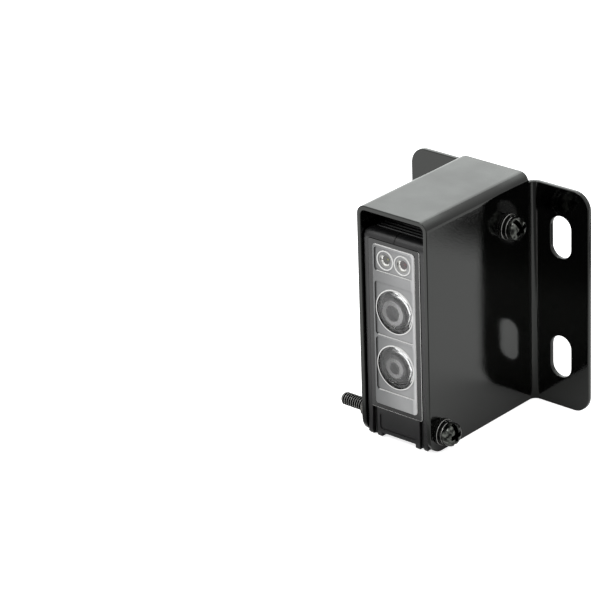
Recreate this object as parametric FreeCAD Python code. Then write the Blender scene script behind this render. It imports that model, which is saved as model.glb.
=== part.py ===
import FreeCAD, Part
import math
import os

V = FreeCAD.Vector

# Driving dimensions, in millimetres

# Clear cover: lenses, indicator wells and sunk fields
LENS_RIM_R = 6.95
LENS_RIM_WIDTH = 0.35
LENS_RIM_HEIGHT = 0.3
LENS_FRONT_RISE = 0.4
LENS_REAR_RISE = 1.3
LENS_REAR_INSET = 0.05
WELL_RIM_R = 3.05
WELL_RIM_WIDTH = 0.3
WELL_RIM_HEIGHT = 0.3
WELL_R = 2.15
WELL_FLOOR_R = 1.35
WELL_DEPTH = 0.5
WELL_WINDOW_R = 1.7
WELL_WINDOW_DEPTH = 0.3
WELL_SPREAD = 6.4
FIELD_SIDE_GAP = 0.1
FIELD_DEPTH = 0.5
FIELD_CORNER_R = 0.9
PLATEAU_BORDER = 0.7
PLATEAU_RISE = 0.4
PLATEAU_CORNER_R = 1.0
PLATEAU_EDGE_R = 0.25
COVER_LIP = 1.75
COVER_LIP_LOW = 1.55
COVER_LIP_TOP = 1.3
COVER_CORNER_R = 0.8
COVER_THICKNESS = 1.6
COVER_GAP = 0.1
SKIRT_GAP = 0.2
SKIRT_WALL = 0.9
SKIRT_DEPTH = 1.8

# Heights up the front of the sensor
CASE_FOOT_GAP = 0.4
NOSE_HEIGHT = 9.6
EMITTER_FIELD_FOOT = 4.75
LENS_FIELD_HEIGHT = 17.1
LENS_FIELD_GAP = 0.7
WELL_FIELD_GAP = 3.3
WELL_FIELD_HEIGHT = 7.5
WELL_FIELD_BORDER = 0.75
BROW_HEIGHT = 2.25
ROOF_GAP = 6.0

# Depths from the front edge of the hood to the wall
CASE_SETBACK = 0.75
GASKET_THICKNESS = 0.8
LEDGE_THICKNESS = 1.6
BARREL_LENGTH = 11.3
OPTICS_BOARD_THICKNESS = 1.2
BOARD_GAP = 0.6
MAIN_BOARD_DEPTH = 20.9
REAR_ROOM = 2.3
REAR_COVER_THICKNESS = 1.8
CABLE_ROOM = 7.15

# Case: flanks, nose, brow, roof ribs, cross tubes and screw bosses
FLANK_WALL = 1.6
FLANK_SETBACK = 0.2
FLANK_CORNER_R = 1.2
CASE_WALL = 1.5
CASE_EDGE_R = 1.2
BROW_R = 2.8
LEDGE_WIDTH = 1.4
NOSE_SETBACK = 0.4
NOSE_GROOVE_WIDTH = 1.55
NOSE_GROOVE_DEPTH = 1.5
NOSE_EDGE_R = 0.6
FOOT_WIDTH = 1.7
FOOT_HEIGHT = 1.35
PLATE_BORDER = 1.1
PLATE_FOOT = 2.6
PLATE_HEIGHT = 5.2
PLATE_DEPTH = 0.3
PLATE_CORNER_R = 0.9
RIB_COUNT = 4
RIB_PITCH = 1.7
RIB_WIDTH = 0.5
RIB_HEIGHT = 0.45
RIB_SETBACK = 3.9
RIB_SIDE_INSET = 2.0
MARK_WIDTH = 0.25
MARK_DEPTH = 0.2
MARK_LENGTH = 3.6
TUBE_WALL = 1.0
FRONT_HOLE_SETBACK = 5.15
FRONT_HOLE_RISE = 5.7
REAR_HOLE_INSET = 3.45
REAR_HOLE_DROP = 6.0
BOSS_R = 2.1
BOSS_LENGTH = 10.0
BOSS_WALL_GAP = 0.1
BOSS_FOOT_GAP = 0.6
BOSS_TUBE_GAP = 0.55
PILOT_R = 0.85
PAD_HEIGHT = 1.3
PAD_WIDTH = 2.0
PAD_END_INSET = 4.0

# Folded sheet hood with its wall flanges
SHEET = 1.5
SIDE_GAP = 0.3
ROOF_FOLD_R = 1.5
FLANGE_FOLD_R = 2.0
FLANGE_WIDTH = 20.25
FLANGE_CORNER_R = 5.5
LEG_CORNER_R = 5.5
SLOT_WIDTH = 7.3
SLOT_LENGTH = 13.4
SLOT_EDGE_INSET = 10.25
SLOT_LOW_Z = 16.4
SLOT_PITCH = 38.7

# Clamp screws with their washers and nuts
SCREW_R = 2.0
SCREW_HOLE_GAP = 0.25
SCREW_HEAD_R = 3.6
SCREW_HEAD_HEIGHT = 3.2
SCREW_HEAD_ROUND = 1.6
SCREW_END = 9.4
SCREW_TIP_CHAMFER = 0.4
FLAT_WASHER_R = 4.0
FLAT_WASHER_THICKNESS = 0.8
SPRING_WASHER_R = 3.5
SPRING_WASHER_THICKNESS = 1.2
SPRING_WASHER_SPLIT = 0.7
SPRING_WASHER_SLANT = 30.0
WASHER_BORE_GAP = 0.15
NUT_FLATS = 7.0
NUT_HEIGHT = 2.4
NUT_CHAMFER = 0.35
NUT_BORE_GAP = 0.05

# Optics block, filters and light parts
BLOCK_SIDE_GAP = 0.2
BLOCK_OVERLAP = 0.8
BARREL_MOUTH_R = 6.2
BARREL_END_R = 3.0
BARREL_STEPS = 5
FILTER_R = 6.5
FILTER_THICKNESS = 0.4
FILTER_GAP = 0.1
LAMP_R = 1.5
LAMP_LENGTH = 4.0
LAMP_FLANGE_R = 1.9
LAMP_FLANGE_THICKNESS = 1.0
LAMP_SEAT_DEPTH = 5.2
LAMP_GAP = 0.2
LEAD_THICKNESS = 0.5
LEAD_SPREAD = 1.27
LEAD_HOLE_GAP = 0.15
LEAD_TAIL = 0.5
RECEIVER_R = 2.5
RECEIVER_CAN_HEIGHT = 2.2
RECEIVER_WINDOW_R = 1.8
RECEIVER_WINDOW_RISE = 0.8
RECEIVER_FOOT_R = 2.8
RECEIVER_FOOT_HEIGHT = 0.5
EMITTER_R = 1.5
EMITTER_HEIGHT = 2.0
EMITTER_DOME_RISE = 1.1
EMITTER_FOOT_R = 1.9
EMITTER_FOOT_HEIGHT = 0.7
OPTICS_SCREW_R = 1.0
OPTICS_SCREW_GAP = 0.05
OPTICS_SCREW_LENGTH = 6.0
OPTICS_SCREW_HEAD_R = 1.8
OPTICS_SCREW_HEAD_HEIGHT = 1.2
OPTICS_SCREW_HEAD_BEVEL = 0.5
SHIELD_WIDTH = 10.5
SHIELD_HEIGHT = 12.6
SHIELD_DEPTH = 2.8
SHIELD_WALL = 0.3
SHIELD_SCREW_GAP = 0.4
SHIELD_SIDE_SHIFT = 2.4

# Main board and what stands on it
MAIN_BOARD_THICKNESS = 1.6
MAIN_BOARD_FOOT = 8.1
PART_GAP = 1.0
CONNECTOR_WAYS = 5
CONNECTOR_PITCH = 2.5
CONNECTOR_DEPTH = 6.0
CONNECTOR_HEIGHT = 6.0
CONNECTOR_WAY_WIDTH = 1.5
CONNECTOR_WAY_DEPTH = 4.0
CHIP_WIDTH = 4.0
CHIP_LENGTH = 9.9
CHIP_HEIGHT = 1.5
CHIP_STANDOFF = 0.2
CHIP_LEGS = 8
CHIP_LEG_PITCH = 1.2
CHIP_LEG_WIDTH = 0.45
CHIP_LEG_REACH = 1.0
CHIP_LEG_THICKNESS = 0.25
LINK_DEPTH = 3.5
LINK_WIDTH = 2.5
LINK_LENGTH = 15.0
RELAY_CLEARANCE = 0.5
RELAY_LENGTH = 15.0
RELAY_WIDTH = 12.0
RELAY_HEIGHT = 12.5
RELAY_EDGE_R = 0.8
RELAY_BASE_HEIGHT = 1.2
RELAY_BASE_INSET = 0.3
CAPACITOR_R = 3.15
CAPACITOR_LENGTH = 11.0
CAPACITOR_SLEEVE_R = 2.9
CAPACITOR_NECK = 1.4
CAPACITOR_NECK_LENGTH = 0.7
CHOKE_R = 3.5
CHOKE_HEIGHT = 8.0
CHOKE_WINDING_R = 2.9
CHOKE_FLANGE = 1.0
VARISTOR_R = 3.5
VARISTOR_THICKNESS = 2.4
VARISTOR_STANDOFF = 1.5
COMPONENT_GAP = 0.8

# Rear lid, its seal and screws, and the cable inlet
REAR_SEAL_INSET = 0.35
REAR_SEAL_WIDTH = 0.9
REAR_SEAL_THICKNESS = 0.7
REAR_RIB_WALL = 1.1
REAR_RIB_DEPTH = 2.0
REAR_RIB_GAP = 0.15
REAR_RIB_END_GAP = 1.0
LID_SCREW_R = 0.8
LID_SCREW_LENGTH = 7.0
LID_SCREW_HEAD_R = 1.8
LID_SCREW_HEAD_HEIGHT = 1.2
LID_SCREW_HEAD_BEVEL = 0.5
LID_SCREW_SINK = 0.8
LID_SCREW_GAP = 0.15
INLET_R = 2.6
GROMMET_NECK_R = 3.8
GROMMET_FLANGE_R = 5.0
GROMMET_INNER_FLANGE = 1.0
GROMMET_OUTER_FLANGE = 1.2
GROMMET_TAIL_R = 4.2
GROMMET_TAIL_END_R = 3.4
GROMMET_TAIL_LENGTH = 4.6
GROMMET_GAP = 0.05

# How far a cutting tool runs past what it cuts
PAST = 1.0

# Half widths, from the lens out to the hood
FIELD_HALF = LENS_RIM_R + FIELD_SIDE_GAP
PLATEAU_HALF = FIELD_HALF + PLATEAU_BORDER
COVER_HALF = PLATEAU_HALF + COVER_LIP
POCKET_HALF = COVER_HALF + COVER_GAP
WINDOW_HALF = POCKET_HALF - LEDGE_WIDTH
NOSE_HALF = POCKET_HALF - NOSE_GROOVE_WIDTH
CASE_HALF = POCKET_HALF + FLANK_WALL
LEG_INSIDE = CASE_HALF + SIDE_GAP
LEG_OUTSIDE = LEG_INSIDE + SHEET
FLANGE_END = LEG_OUTSIDE + FLANGE_WIDTH
SLOT_X = FLANGE_END - SLOT_EDGE_INSET

# Levels, from the foot of the legs up
CASE_LOW = CASE_FOOT_GAP
NOSE_TOP = CASE_LOW + NOSE_HEIGHT
COVER_LOW = NOSE_TOP + COVER_GAP
PLATEAU_LOW = COVER_LOW + COVER_LIP_LOW
EMITTER_FIELD_LOW = PLATEAU_LOW + EMITTER_FIELD_FOOT
RECEIVER_FIELD_LOW = EMITTER_FIELD_LOW + LENS_FIELD_HEIGHT + LENS_FIELD_GAP
WELL_FIELD_LOW = RECEIVER_FIELD_LOW + LENS_FIELD_HEIGHT + WELL_FIELD_GAP
PLATEAU_TOP = WELL_FIELD_LOW + WELL_FIELD_HEIGHT + WELL_FIELD_BORDER
COVER_TOP = PLATEAU_TOP + COVER_LIP_TOP
POCKET_TOP = COVER_TOP + COVER_GAP
CASE_TOP = POCKET_TOP + BROW_HEIGHT
HOOD_HEIGHT = CASE_TOP + ROOF_GAP + SHEET
FLANGE_TOP = HOOD_HEIGHT - SHEET - ROOF_FOLD_R
EMITTER_Z = EMITTER_FIELD_LOW + LENS_FIELD_HEIGHT / 2
RECEIVER_Z = RECEIVER_FIELD_LOW + LENS_FIELD_HEIGHT / 2
WELL_Z = WELL_FIELD_LOW + WELL_FIELD_HEIGHT / 2
WINDOW_LOW = NOSE_TOP + LEDGE_WIDTH
WINDOW_TOP = POCKET_TOP - LEDGE_WIDTH
CAVITY_LOW = CASE_LOW + CASE_WALL
CAVITY_TOP = CASE_TOP - CASE_WALL

# Depths, with the origin half way from the front edge to the wall
SENSOR_DEPTHS = (
    CASE_SETBACK,
    COVER_THICKNESS,
    GASKET_THICKNESS,
    LEDGE_THICKNESS,
    BARREL_LENGTH,
    OPTICS_BOARD_THICKNESS,
    BOARD_GAP,
    MAIN_BOARD_DEPTH,
    REAR_ROOM,
    REAR_COVER_THICKNESS,
    CABLE_ROOM,
)
WALL_Y = (sum(SENSOR_DEPTHS) + SHEET) / 2
FRONT_Y = -WALL_Y
FLANGE_Y = WALL_Y - SHEET
FOLD_Y = FLANGE_Y - FLANGE_FOLD_R
COVER_Y = FRONT_Y + CASE_SETBACK
PLATEAU_Y = COVER_Y - PLATEAU_RISE
FIELD_Y = PLATEAU_Y + FIELD_DEPTH
COVER_BACK_Y = COVER_Y + COVER_THICKNESS
LEDGE_Y = COVER_BACK_Y + GASKET_THICKNESS
LEDGE_BACK_Y = LEDGE_Y + LEDGE_THICKNESS
BLOCK_BACK_Y = LEDGE_BACK_Y + BARREL_LENGTH
OPTICS_BOARD_BACK_Y = BLOCK_BACK_Y + OPTICS_BOARD_THICKNESS
MAIN_BOARD_Y = OPTICS_BOARD_BACK_Y + BOARD_GAP
MAIN_BOARD_BACK_Y = MAIN_BOARD_Y + MAIN_BOARD_DEPTH
CASE_BACK_Y = MAIN_BOARD_BACK_Y + REAR_ROOM
LID_BACK_Y = CASE_BACK_Y + REAR_COVER_THICKNESS
FLANK_Y = COVER_Y + FLANK_SETBACK
NOSE_Y = COVER_Y + NOSE_SETBACK

# Cross holes for the two clamp screws, as (y, z)
SCREW_HOLE_R = SCREW_R + SCREW_HOLE_GAP
TUBE_R = SCREW_HOLE_R + TUBE_WALL
CLAMP_HOLES = (
    (COVER_Y + FRONT_HOLE_SETBACK, CASE_LOW + FRONT_HOLE_RISE),
    (CASE_BACK_Y - REAR_HOLE_INSET, CASE_TOP - REAR_HOLE_DROP),
)

# Lid screws, as (x, z)
BOSS_X = POCKET_HALF - BOSS_R - BOSS_WALL_GAP
BOSS_LOW_Z = CAVITY_LOW + BOSS_FOOT_GAP + BOSS_R
BOSS_TOP_Z = CLAMP_HOLES[1][1] - TUBE_R - BOSS_TUBE_GAP - BOSS_R
LID_SCREWS = tuple((x, z) for x in (-BOSS_X, BOSS_X) for z in (BOSS_LOW_Z, BOSS_TOP_Z))

# Screws that hold the optics board to the block, as heights on the centre line
OPTICS_SCREWS = (
    RECEIVER_FIELD_LOW - LENS_FIELD_GAP / 2,
    (RECEIVER_FIELD_LOW + LENS_FIELD_HEIGHT + WELL_FIELD_LOW) / 2,
)

# Main board stack, from its lower edge up
BOARD_X = -POCKET_HALF + PAD_HEIGHT
BOARD_FACE_X = BOARD_X + MAIN_BOARD_THICKNESS
BOARD_LOW = CASE_LOW + MAIN_BOARD_FOOT
CONNECTOR_LOW = BOARD_LOW + PART_GAP
CONNECTOR_TOP = CONNECTOR_LOW + CONNECTOR_WAYS * CONNECTOR_PITCH
RELAY_LOW = CONNECTOR_TOP + PART_GAP
RELAY_TOP = RELAY_LOW + RELAY_WIDTH
COMPONENT_Z = RELAY_TOP + PART_GAP + CHOKE_R
BOARD_TOP = COMPONENT_Z + CHOKE_R + PART_GAP
CONNECTOR_BACK_Y = MAIN_BOARD_BACK_Y - PART_GAP
RELAY_Y = OPTICS_BOARD_BACK_Y + LINK_DEPTH + RELAY_CLEARANCE
CAPACITOR_Y = RELAY_Y + CAPACITOR_R
CHOKE_Y = CAPACITOR_Y + CAPACITOR_R + COMPONENT_GAP + CHOKE_R
VARISTOR_Y = CHOKE_Y + CHOKE_R + COMPONENT_GAP
INLET_Z = (CONNECTOR_LOW + CONNECTOR_TOP) / 2


def outline(corners, place):
    """Closed wire through corners (u, v, radius), each point set in space by place."""
    bends = []
    for index, (u, v, radius) in enumerate(corners):
        corner = V(u, v, 0)
        before = corners[index - 1]
        after = corners[(index + 1) % len(corners)]
        to_before = (V(before[0], before[1], 0) - corner).normalize()
        to_after = (V(after[0], after[1], 0) - corner).normalize()
        half_angle = to_before.getAngle(to_after) / 2
        reach = radius / math.tan(half_angle)
        inward = (to_before + to_after).normalize()
        crown = corner + inward * (radius / math.sin(half_angle) - radius)
        bends.append((corner + to_before * reach, crown, corner + to_after * reach))
    edges = []
    for index, (start, crown, end) in enumerate(bends):
        if corners[index][2] > 0:
            edges.append(Part.Arc(place(start), place(crown), place(end)).toShape())
        following = bends[(index + 1) % len(bends)][0]
        if not following.isEqual(end, Part.Precision.confusion()):
            edges.append(Part.LineSegment(place(end), place(following)).toShape())
    return Part.Wire(edges)


def along_x(corners, x_start, x_end):
    """Prism with a side-view outline of (y, z, radius) corners."""
    wire = outline(corners, lambda point: V(x_start, point.x, point.y))
    return Part.Face(wire).extrude(V(x_end - x_start, 0, 0))


def along_y(corners, y_start, y_end):
    """Prism with a front-view outline of (x, z, radius) corners."""
    wire = outline(corners, lambda point: V(point.x, y_start, point.y))
    return Part.Face(wire).extrude(V(0, y_end - y_start, 0))


def along_z(corners, z_start, z_end):
    """Prism with a plan outline of (x, y, radius) corners."""
    wire = outline(corners, lambda point: V(point.x, point.y, z_start))
    return Part.Face(wire).extrude(V(0, 0, z_end - z_start))


def rectangle(half, low, high, radius):
    """Corners of a rectangle centred on the middle plane."""
    return [(-half, low, radius), (half, low, radius), (half, high, radius), (-half, high, radius)]


def block(x_start, x_end, y_start, y_end, z_start, z_end):
    """Box between two corners."""
    corner = V(x_start, y_start, z_start)
    return Part.makeBox(x_end - x_start, y_end - y_start, z_end - z_start, corner)


def rod_x(radius, x_start, x_end, y, z):
    """Round bar along X."""
    return Part.makeCylinder(radius, x_end - x_start, V(x_start, y, z), V(1, 0, 0))


def rod_y(radius, y_start, y_end, x, z):
    """Round bar along Y."""
    return Part.makeCylinder(radius, y_end - y_start, V(x, y_start, z), V(0, 1, 0))


def taper_y(start_r, end_r, y_start, y_end, x, z):
    """Tapered bar along Y."""
    return Part.makeCone(start_r, end_r, y_end - y_start, V(x, y_start, z), V(0, 1, 0))


def dome(radius, rise, x, y, z, toward):
    """Cap of a sphere on a base circle, bulging along Y to the side given by toward."""
    sphere_r = (radius ** 2 + rise ** 2) / (2 * rise)
    quarter = math.asin(radius / sphere_r) / 2
    shoulder_drop = sphere_r * (1 - math.cos(quarter))
    middle = V(0, 0, 0)
    rim = V(radius, 0, 0)
    shoulder = V(sphere_r * math.sin(quarter), toward * (rise - shoulder_drop), 0)
    apex = V(0, toward * rise, 0)
    edges = [
        Part.LineSegment(middle, rim).toShape(),
        Part.Arc(rim, shoulder, apex).toShape(),
        Part.LineSegment(apex, middle).toShape(),
    ]
    cap = Part.Face(Part.Wire(edges)).revolve(middle, V(0, 1, 0), 360)
    cap.translate(V(x, y, z))
    return cap


def fuse_all(first, others):
    """One solid from pieces that meet, with merged faces."""
    return first.multiFuse(list(others)).removeSplitter()


def cut_all(shape, tools):
    """The shape with every tool taken out of it."""
    return shape.cut(Part.makeCompound(list(tools)))


def end_circle(shape, centre):
    """The round edge of a turned shape that lies about a given centre."""
    circles = [edge for edge in shape.Edges if isinstance(edge.Curve, Part.Circle)]
    return min(circles, key=lambda edge: (edge.Curve.Center - centre).Length)


def round_end(shape, radius, centre):
    """The shape with one round edge softened."""
    return shape.makeFillet(radius, [end_circle(shape, centre)])


# Folded hood bracket: one sheet with a roof, two legs and two wall flanges
def hood_bracket():
    roof_inside = HOOD_HEIGHT - SHEET
    outer_fold = ROOF_FOLD_R + SHEET
    arch = [
        (-LEG_OUTSIDE, 0, 0),
        (-LEG_OUTSIDE, HOOD_HEIGHT, outer_fold),
        (LEG_OUTSIDE, HOOD_HEIGHT, outer_fold),
        (LEG_OUTSIDE, 0, 0),
        (LEG_INSIDE, 0, 0),
        (LEG_INSIDE, roof_inside, ROOF_FOLD_R),
        (-LEG_INSIDE, roof_inside, ROOF_FOLD_R),
        (-LEG_INSIDE, 0, 0),
    ]
    side_view = [
        (FRONT_Y, 0, LEG_CORNER_R),
        (FOLD_Y, 0, 0),
        (FOLD_Y, HOOD_HEIGHT, 0),
        (FRONT_Y, HOOD_HEIGHT, 0),
    ]
    hood = along_y(arch, FRONT_Y, FOLD_Y).common(along_x(side_view, -LEG_OUTSIDE, LEG_OUTSIDE))
    flange_view = rectangle(FLANGE_END, 0, FLANGE_TOP, FLANGE_CORNER_R)
    flange_outline = along_y(flange_view, FOLD_Y, WALL_Y)
    flanges = []
    holes = []
    for side in (-1, 1):
        plan = [
            (side * LEG_INSIDE, FOLD_Y, 0),
            (side * LEG_OUTSIDE, FOLD_Y, 0),
            (side * LEG_OUTSIDE, FLANGE_Y, FLANGE_FOLD_R),
            (side * FLANGE_END, FLANGE_Y, 0),
            (side * FLANGE_END, WALL_Y, 0),
            (side * LEG_INSIDE, WALL_Y, FLANGE_FOLD_R + SHEET),
        ]
        flanges.append(along_z(plan, 0, FLANGE_TOP).common(flange_outline))
        for z in (SLOT_LOW_Z, SLOT_LOW_Z + SLOT_PITCH):
            slot_view = rectangle(SLOT_WIDTH / 2, z - SLOT_LENGTH / 2, z + SLOT_LENGTH / 2, SLOT_WIDTH / 2)
            slot = along_y(slot_view, FLANGE_Y - PAST, WALL_Y + PAST)
            slot.translate(V(side * SLOT_X, 0, 0))
            holes.append(slot)
    for y, z in CLAMP_HOLES:
        holes.append(rod_x(SCREW_HOLE_R, -LEG_OUTSIDE - PAST, LEG_OUTSIDE + PAST, y, z))
    return cut_all(fuse_all(hood, flanges), holes)


# Clear front cover: lip, raised plateau, sunk fields, two lenses and two lamp wells in one moulding
def front_cover():
    lip_view = rectangle(COVER_HALF, COVER_LOW, COVER_TOP, COVER_CORNER_R)
    lip = along_y(lip_view, COVER_Y, COVER_BACK_Y)
    plateau_view = rectangle(PLATEAU_HALF, PLATEAU_LOW, PLATEAU_TOP, PLATEAU_CORNER_R)
    plateau = along_y(plateau_view, PLATEAU_Y, COVER_BACK_Y)
    front_edges = [edge for edge in plateau.Edges if edge.BoundBox.YMax < COVER_Y]
    plateau = plateau.makeFillet(PLATEAU_EDGE_R, front_edges)
    skirt_out = rectangle(
        WINDOW_HALF - SKIRT_GAP, WINDOW_LOW + SKIRT_GAP, WINDOW_TOP - SKIRT_GAP, COVER_CORNER_R
    )
    skirt_in = rectangle(
        WINDOW_HALF - SKIRT_GAP - SKIRT_WALL,
        WINDOW_LOW + SKIRT_GAP + SKIRT_WALL,
        WINDOW_TOP - SKIRT_GAP - SKIRT_WALL,
        0,
    )
    skirt_end = COVER_BACK_Y + SKIRT_DEPTH
    skirt = along_y(skirt_out, COVER_BACK_Y, skirt_end)
    skirt = skirt.cut(along_y(skirt_in, COVER_BACK_Y - PAST, skirt_end + PAST))
    cover = fuse_all(lip, [plateau, skirt])
    fields = (
        (EMITTER_FIELD_LOW, LENS_FIELD_HEIGHT),
        (RECEIVER_FIELD_LOW, LENS_FIELD_HEIGHT),
        (WELL_FIELD_LOW, WELL_FIELD_HEIGHT),
    )
    sunk = [
        along_y(rectangle(FIELD_HALF, low, low + height, FIELD_CORNER_R), PLATEAU_Y - PAST, FIELD_Y)
        for low, height in fields
    ]
    cover = cut_all(cover, sunk)
    raised = []
    lens_r = LENS_RIM_R - LENS_RIM_WIDTH
    for z in (EMITTER_Z, RECEIVER_Z):
        rim = rod_y(LENS_RIM_R, FIELD_Y - LENS_RIM_HEIGHT, FIELD_Y, 0, z)
        raised.append(rim.cut(rod_y(lens_r, FIELD_Y - PAST, FIELD_Y + PAST, 0, z)))
        raised.append(dome(lens_r, LENS_FRONT_RISE, 0, FIELD_Y, z, -1))
        raised.append(dome(lens_r - LENS_REAR_INSET, LENS_REAR_RISE, 0, COVER_BACK_Y, z, 1))
    wells = []
    for x in (-WELL_SPREAD / 2, WELL_SPREAD / 2):
        rim = rod_y(WELL_RIM_R, FIELD_Y - WELL_RIM_HEIGHT, FIELD_Y, x, WELL_Z)
        inside = rod_y(WELL_RIM_R - WELL_RIM_WIDTH, FIELD_Y - PAST, FIELD_Y + PAST, x, WELL_Z)
        raised.append(rim.cut(inside))
        wells.append(taper_y(WELL_R, WELL_FLOOR_R, FIELD_Y, FIELD_Y + WELL_DEPTH, x, WELL_Z))
        wells.append(rod_y(WELL_WINDOW_R, COVER_BACK_Y - WELL_WINDOW_DEPTH, COVER_BACK_Y + PAST, x, WELL_Z))
    return cut_all(fuse_all(cover, raised), wells)


# Rubber frame squeezed between the cover's lip and the ledge in the case
def cover_gasket():
    outside = rectangle(COVER_HALF, COVER_LOW, COVER_TOP, COVER_CORNER_R)
    inside = rectangle(WINDOW_HALF, WINDOW_LOW, WINDOW_TOP, COVER_CORNER_R)
    frame = along_y(outside, COVER_BACK_Y, LEDGE_Y)
    return frame.cut(along_y(inside, COVER_BACK_Y - PAST, LEDGE_Y + PAST))


# Hollow space of the case, from the cover's pocket through the window to the open back
def case_hollow():
    pocket_view = rectangle(POCKET_HALF, NOSE_TOP, POCKET_TOP, COVER_CORNER_R)
    window_view = rectangle(WINDOW_HALF, WINDOW_LOW, WINDOW_TOP, COVER_CORNER_R)
    return [
        along_y(pocket_view, FLANK_Y - PAST, LEDGE_Y),
        along_y(window_view, LEDGE_Y - PAST, LEDGE_BACK_Y + PAST),
        block(-POCKET_HALF, POCKET_HALF, LEDGE_BACK_Y, CASE_BACK_Y + PAST, CAVITY_LOW, CAVITY_TOP),
    ]


# What stands in the case: cross tubes that the legs clamp on, lid bosses with webs, board pads
def case_insides():
    pieces = []
    for y, z in CLAMP_HOLES:
        pieces.append(rod_x(TUBE_R, -LEG_INSIDE, LEG_INSIDE, y, z))
    boss_start = CASE_BACK_Y - BOSS_LENGTH
    for x, z in LID_SCREWS:
        wall = math.copysign(POCKET_HALF + FLANK_WALL / 2, x)
        web_half = BOSS_R / 2
        pieces.append(rod_y(BOSS_R, boss_start, CASE_BACK_Y, x, z))
        pieces.append(block(min(x, wall), max(x, wall), boss_start, CASE_BACK_Y, z - web_half, z + web_half))
    wall = -POCKET_HALF - FLANK_WALL / 2
    pad_ends = (MAIN_BOARD_Y + PART_GAP, MAIN_BOARD_BACK_Y - PART_GAP)
    for z in (BOARD_LOW + PAD_END_INSET, BOARD_TOP - PAD_END_INSET):
        pieces.append(block(wall, BOARD_X, *pad_ends, z - PAD_WIDTH / 2, z + PAD_WIDTH / 2))
    return pieces


# Side view of the case, drawn in from its skin by a given amount
def case_side_view(inset):
    return [
        (FLANK_Y + inset, CASE_LOW + inset, FLANK_CORNER_R - inset),
        (CASE_BACK_Y, CASE_LOW + inset, 0),
        (CASE_BACK_Y, CASE_TOP - inset, 0),
        (FLANK_Y + inset, CASE_TOP - inset, BROW_R - inset),
    ]


# Fine line over the brow that marks the optical axis
def axis_mark():
    half = MARK_WIDTH / 2
    slab = block(-half, half, FLANK_Y - PAST, FLANK_Y + MARK_LENGTH, POCKET_TOP, CASE_TOP + PAST)
    return slab.cut(along_x(case_side_view(MARK_DEPTH), -CASE_HALF, CASE_HALF))


# Ribs across the roof of the case, near its front
def roof_ribs():
    half = CASE_HALF - RIB_SIDE_INSET
    ribs = []
    for index in range(RIB_COUNT):
        y = COVER_Y + RIB_SETBACK + index * RIB_PITCH
        ribs.append(block(-half, half, y, y + RIB_WIDTH, CASE_TOP - CASE_WALL / 2, CASE_TOP + RIB_HEIGHT))
    return ribs


# Moulded housing: flanks and brow round the cover, and a nose with a bare plate below it
def case():
    front_view = rectangle(CASE_HALF, CASE_LOW, CASE_TOP, CASE_EDGE_R)
    body = along_x(case_side_view(0), -CASE_HALF, CASE_HALF)
    body = body.common(along_y(front_view, FLANK_Y, CASE_BACK_Y))
    body = fuse_all(cut_all(body, case_hollow()), case_insides() + roof_ribs())
    groove_end = FLANK_Y + NOSE_GROOVE_DEPTH
    groove = block(-POCKET_HALF, POCKET_HALF, FLANK_Y - PAST, groove_end, CASE_LOW - PAST, NOSE_TOP)
    nose_view = [
        (NOSE_Y, CASE_LOW, NOSE_EDGE_R),
        (LEDGE_BACK_Y, CASE_LOW, 0),
        (LEDGE_BACK_Y, NOSE_TOP, 0),
        (NOSE_Y, NOSE_TOP, 0),
    ]
    nose = along_x(nose_view, -NOSE_HALF, NOSE_HALF)
    body = fuse_all(body.cut(groove), [nose])
    plate_low = CASE_LOW + PLATE_FOOT
    plate_view = rectangle(NOSE_HALF - PLATE_BORDER, plate_low, plate_low + PLATE_HEIGHT, PLATE_CORNER_R)
    notch_half = NOSE_HALF - FOOT_WIDTH
    notch_top = CASE_LOW + FOOT_HEIGHT
    tools = [
        along_y(plate_view, NOSE_Y - PAST, NOSE_Y + PLATE_DEPTH),
        block(-notch_half, notch_half, NOSE_Y - PAST, LEDGE_BACK_Y, CASE_LOW - PAST, notch_top),
        axis_mark(),
    ]
    for y, z in CLAMP_HOLES:
        tools.append(rod_x(SCREW_HOLE_R, -CASE_HALF - PAST, CASE_HALF + PAST, y, z))
    for x, z in LID_SCREWS:
        tools.append(rod_y(PILOT_R, CASE_BACK_Y - BOSS_LENGTH + PAST, CASE_BACK_Y + PAST, x, z))
    return cut_all(body, tools)


# Dark optics block: stepped barrels that swallow stray light, with seats for filters and lamps
def optics_block():
    half = POCKET_HALF - BLOCK_SIDE_GAP
    body = block(
        -half, half, LEDGE_BACK_Y, BLOCK_BACK_Y, WINDOW_LOW - BLOCK_OVERLAP, WINDOW_TOP + BLOCK_OVERLAP
    )
    tools = []
    step = BARREL_LENGTH / BARREL_STEPS
    shrink = (BARREL_MOUTH_R - BARREL_END_R) / (BARREL_STEPS - 1)
    for z in (EMITTER_Z, RECEIVER_Z):
        seat_end = LEDGE_BACK_Y + FILTER_THICKNESS
        tools.append(rod_y(FILTER_R + FILTER_GAP, LEDGE_BACK_Y - PAST, seat_end, 0, z))
        for index in range(BARREL_STEPS):
            start = LEDGE_BACK_Y + index * step
            tools.append(rod_y(BARREL_MOUTH_R - index * shrink, start, start + step + PAST, 0, z))
    for x in (-WELL_SPREAD / 2, WELL_SPREAD / 2):
        seat = LEDGE_BACK_Y + LAMP_SEAT_DEPTH
        tools.append(rod_y(LAMP_R + LAMP_GAP, LEDGE_BACK_Y - PAST, seat + PAST, x, WELL_Z))
        tools.append(rod_y(LAMP_FLANGE_R + LAMP_GAP, seat, BLOCK_BACK_Y + PAST, x, WELL_Z))
    hole_start = BLOCK_BACK_Y - OPTICS_SCREW_LENGTH
    for z in OPTICS_SCREWS:
        tools.append(rod_y(OPTICS_SCREW_R + OPTICS_SCREW_GAP, hole_start, BLOCK_BACK_Y + PAST, 0, z))
    return cut_all(body, tools)


# Polarising disc in the mouth of a barrel
def filter_disc(z):
    return rod_y(FILTER_R, LEDGE_BACK_Y, LEDGE_BACK_Y + FILTER_THICKNESS, 0, z)


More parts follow.
